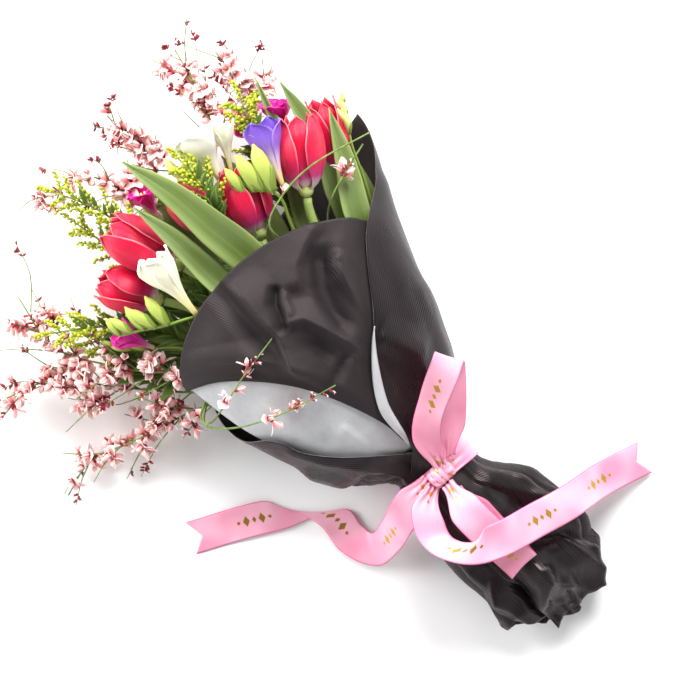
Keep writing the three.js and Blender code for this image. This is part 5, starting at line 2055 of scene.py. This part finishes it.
def inside_room(spot: Vector, margin: float) -> bool:
    """Whether a spot keeps inside the room that the part fills, by a margin."""
    low = all(spot[k] >= LOWEST[k] + margin for k in range(3))
    return low and all(spot[k] <= HIGHEST[k] - margin for k in range(3))


# --- broom
class FlowerStage(Enum):
    """How far a pea flower of broom has opened, with its length in millimetres."""

    OPEN = 9.6
    HALF = 8.0
    BUD = 4.8


@dataclass(frozen=True)
class BroomSpray:
    """A spray of broom: its node, how many side twigs, their reach, and clusters of flowers."""

    node: str
    seed: int
    twigs: int
    reach: float
    clusters: int


@dataclass
class Brooms:
    """Broom: wiry green twigs with clusters of small pink pea flowers in dark red calyces."""

    routes: Routes
    petal: float = 0.25
    sprays: tuple[BroomSpray, ...] = (
        BroomSpray("broom_1", 11, 9, 34, 46),
        BroomSpray("broom_2", 12, 9, 34, 46),
        BroomSpray("broom_3", 48, 8, 28, 40),
        BroomSpray("broom_4", 64, 8, 26, 30),
        BroomSpray("broom_5", 52, 11, 38, 60),
        BroomSpray("broom_6", 60, 10, 36, 34),
        BroomSpray("broom_7", 73, 12, 36, 64),
        BroomSpray("broom_8", 18, 0, 0, 1),
        BroomSpray("broom_9", 92, 0, 0, 2),
    )

    def flower_model(self, stage: FlowerStage) -> Mesh:
        """Draws a pea flower along +X: a raised standard, a keel, and the calyx that holds them.

        Args:
            stage: how far it has opened.

        Returns:
            The model, of a few dozen faces.
        """
        size = stage.value
        draft = Draft()
        opening, broad = {
            FlowerStage.OPEN: (0.75, 0.42), FlowerStage.HALF: (0.4, 0.3), FlowerStage.BUD: (0.06, 0.1),
        }[stage]  # fmt: skip
        width = Profile((0, 0.25), (0.5, 0.9), (0.75, 1), (0.93, 0.7), (1, 0.25))

        def standard(u: float, v: float) -> Vector:
            """A point of the standard, the broad petal that is raised behind the others."""
            out = 2.0 * u - 1.0
            lift = opening * v**1.3 + 0.1 * v - 0.16 * abs(out) * width(v)
            x = size * (0.14 + 0.8 * v * (1.0 - 0.25 * opening))
            return Vector((x, out * size * broad * width(v), size * lift))

        draft.sheet(3, 4, standard, self.petal, finish=1)
        for side in (1.0, -1.0):

            def wing(u: float, v: float, side: float = side) -> Vector:
                """A point of a wing, which bows out beside the keel."""
                y = side * size * (0.04 + 0.42 * broad * math.sin(math.pi * mix(0.1, 0.9, v)))
                z = size * ((u - 0.5) * 0.42 * side * width(v) - 0.16 * v)
                return Vector((size * (0.14 + 0.84 * v), y, z))

            if stage is not FlowerStage.BUD:
                draft.sheet(1, 3, wing, self.petal, finish=1)
        body = Profile((0, 0.5), (0.4, 1), (0.8, 0.7), (1, 0.2))
        keel = [Vector((x * size, 0.0, -0.14 * x * size)) for x in (0.1, 0.4, 0.72, 0.95)]
        draft.tube(keel, lambda t: size * 0.13 * body(t), 5, 1)
        cup = Profile((0, 0.4), (0.5, 1), (1, 0.85))
        end, thick = (0.62, 0.2) if stage is FlowerStage.BUD else (0.25, 0.14)
        line = [Vector((x * size, 0.0, 0.0)) for x in (-0.16, 0.04, end)]
        draft.tube(line, lambda t: size * thick * cup(t), 5, 2)
        return draft.model(f"broom_flower_{stage.name.lower()}")

    def spray(self, spray: BroomSpray, flowers: dict[FlowerStage, Mesh]) -> Draft:
        """Draws one spray.

        Args:
            spray: what it is like.
            flowers: the flower models by their stage.

        Returns:
            The draft.
        """
        draw = random.Random(spray.seed)
        stem = BY_NODE[spray.node]
        draft = Draft()
        line = whole_line(self.routes, spray.node)
        draft.tube(line.samples(90), lambda t: BROOM * mix(1.0, 0.45, t), 7)
        tip_line = Way((stem.neck, *stem.way))
        # each way that carries flowers, with the shares of it between which they stand
        carriers: list[tuple[Way, float, float]] = [(tip_line, 0.3, 0.9)] * (1 + spray.twigs // 4)
        for fork in stem.forks:
            branch = Way((stem.neck, *fork))
            draft.tube(branch.samples(40), lambda t: mix(1.0, 0.5, t), 6)
            carriers.append((branch, 0.62, 1.0))
        for k in range(spray.twigs):
            t = mix(0.15, 0.9, k / (spray.twigs - 1))
            root, ahead = tip_line.at(t), tip_line.ahead(t)
            side = across(ahead) * (1.0 if k % 2 else -1.0)
            out = ahead + side * draw.uniform(0.3, 0.9) + UP * draw.uniform(-0.25, 0.45)
            out.normalize()
            bare = k % 3 == 2  # a long thin twig with nothing but buds towards its end
            reach = spray.reach * draw.uniform(0.75, 1.35) * (1.7 if bare else 1.0)
            bend = side * draw.uniform(-0.25, 0.2) + UP * draw.uniform(-0.2, 0.15)
            tip = root + out * reach + bend * reach
            while not inside_room(tip, 1.5) and reach > 12.0:
                reach *= 0.85
                tip = root + out * reach + bend * reach
            if not inside_room(tip, 1.5):
                continue
            twig = Way((root, root + out * reach * 0.5, tip))
            thick = 0.55 if bare else 0.7
            draft.tube(twig.samples(10), lambda s, thick=thick: mix(thick, thick / 2.0, s), 5)
            carriers.append((twig, 0.68 if bare else 0.05, 0.9))
        for k in range(spray.clusters):
            way, low, high = carriers[k % len(carriers)]
            share = draw.uniform(low, high)
            for _ in range(3):
                spot = way.at(clamp(share + draw.uniform(-0.05, 0.05)))
                along = way.ahead(share)
                turn = draw.uniform(0.0, math.tau)
                square = across(along)
                around = turned(square, square.cross(along), turn)
                lean = along * draw.uniform(0.3, 1.0) + around
                lean.normalize()
                stage = FlowerStage.BUD  # towards its end nothing has opened
                if share <= (0.66 if way.length < 70.0 else 0.82):
                    stage = FlowerStage.OPEN if draw.random() < 0.7 else FlowerStage.HALF
                size = draw.uniform(0.85, 1.15)
                if not inside_room(spot + lean * stage.value * size, 2.0):
                    continue
                place = facing_frame(spot + lean * 1.2, lean, around + along * 0.2, size)
                draft.copy(flowers[stage], place)
        return draft

    def build(self) -> Iterable[Object]:
        """Builds the nine sprays.

        Returns:
            The pieces, each standing for its node.
        """
        # a wiry green, petals of a white that blushes to red at the foot, and dark red cups
        twig = GreenSkin("broom_twig_green", "#7f9a4a", "#4f6a2c").made()
        petal = PetalSkin(
            "broom_petal_pink",
            ((0.0, "#d0303f"), (0.22, "#f78a90"), (0.55, "#ffb9b8"), (1.0, "#ffe4de")),
            "#fff3ee", 0.72, 8.0, 0.08,
        ).made()  # fmt: skip
        calyx = GreenSkin("broom_calyx_dark_red", "#b3203a", "#5a0f1e", 300.0).made()
        flowers = {stage: self.flower_model(stage) for stage in FlowerStage}
        for spray in self.sprays:
            draft = self.spray(spray, flowers)
            yield draft.piece(f"{spray.node}_spray", (twig, petal, calyx), spray.node, "broom")


# --- the studio
@dataclass
class Studio:
    """A white floor, a soft light from the picture's top, a low one beside it, and the camera."""

    floor: float = 3.0  # metres across
    under: float = 0.0003  # how far it lies under the bunch
    camera_height: float = 1.4
    camera_spot: tuple[float, float] = (-0.00048, -0.05234)
    lens: float = 96.43
    sensor: float = 36.0
    turn: float = 225.0  # how the picture is turned over the bunch
    walls: float = 1.15  # how bright the air is at the height of the floor, and overhead
    ceiling: float = 0.15

    def light(self, name: str, place: Point, size: float, watts: float) -> None:
        """Adds a soft square light that points at the bunch.

        Args:
            name: its name.
            place: where it stands, in metres.
            size: how wide it is.
            watts: how strong it is.
        """
        data = bpy.data.lights.new(name, "AREA")
        data.shape = "SQUARE"
        data.size = size
        data.energy = watts
        lamp = added(name, data)
        lamp.location = place
        lamp.rotation_euler = (-Vector(place)).to_track_quat("-Z", "Y").to_euler()

    def build(self) -> None:
        """Sets up the floor, the lights and the camera."""
        mesh = bmesh.new()
        bmesh.ops.create_grid(mesh, x_segments=2, y_segments=2, size=self.floor / 2.0)
        data = bpy.data.meshes.new("studio_floor")
        mesh.to_mesh(data)
        mesh.free()
        data.materials.append(StudioPaper("white_studio_paper").made())
        floor = added("studio_floor", data)
        floor.location = (0.0, 0.0, -self.under)
        world = bpy.data.worlds.new("studio_air")
        world.use_nodes = True
        air = world.node_tree
        direction = add_node(air, "TexCoord").outputs["Generated"]
        height = add_node(air, "SeparateXYZ", {0: direction}).outputs[2]
        steep = add_node(air, "Math", {0: height, 1: 2.0}, operation="POWER")
        # a studio's dim ceiling over bright walls, so that flat black paper stays black
        glow = add_node(air, "MapRange", {0: steep, 3: self.walls, 4: self.ceiling})
        fill(air, air.nodes["Background"], {"Color": linear("#ffffff"), "Strength": glow})
        bpy.context.scene.world = world
        bpy.context.scene.view_settings.view_transform = "Standard"
        self.light("key_softbox", (0.8, -1.3, 1.2), 1.0, 58.0)
        self.light("side_softbox", (1.5, 0.85, 0.7), 1.0, 38.0)
        camera = bpy.data.cameras.new("studio_camera")
        camera.lens = self.lens
        camera.sensor_width = self.sensor
        stand = added("studio_camera", camera)
        stand.location = (*self.camera_spot, self.camera_height)
        stand.rotation_euler = (0.0, 0.0, math.radians(self.turn))
        bpy.context.scene.camera = stand


def main() -> None:
    """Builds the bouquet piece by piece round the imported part, then the studio."""
    logging.basicConfig(level=logging.INFO, format="%(name)s: %(message)s")
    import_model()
    bunch = Bunch()
    routes = Bundle(bunch).routes()
    flowers = (Tulips(routes), Freesias(routes), Goldenrods(routes), Brooms(routes))
    for part in (Wrapper(bunch), Bow(bunch), *flowers):
        for piece in part.build():
            log.info("%s has %d faces", piece.name, len(piece.data.polygons))
    Studio().build()


if __name__ == "__main__":
    main()
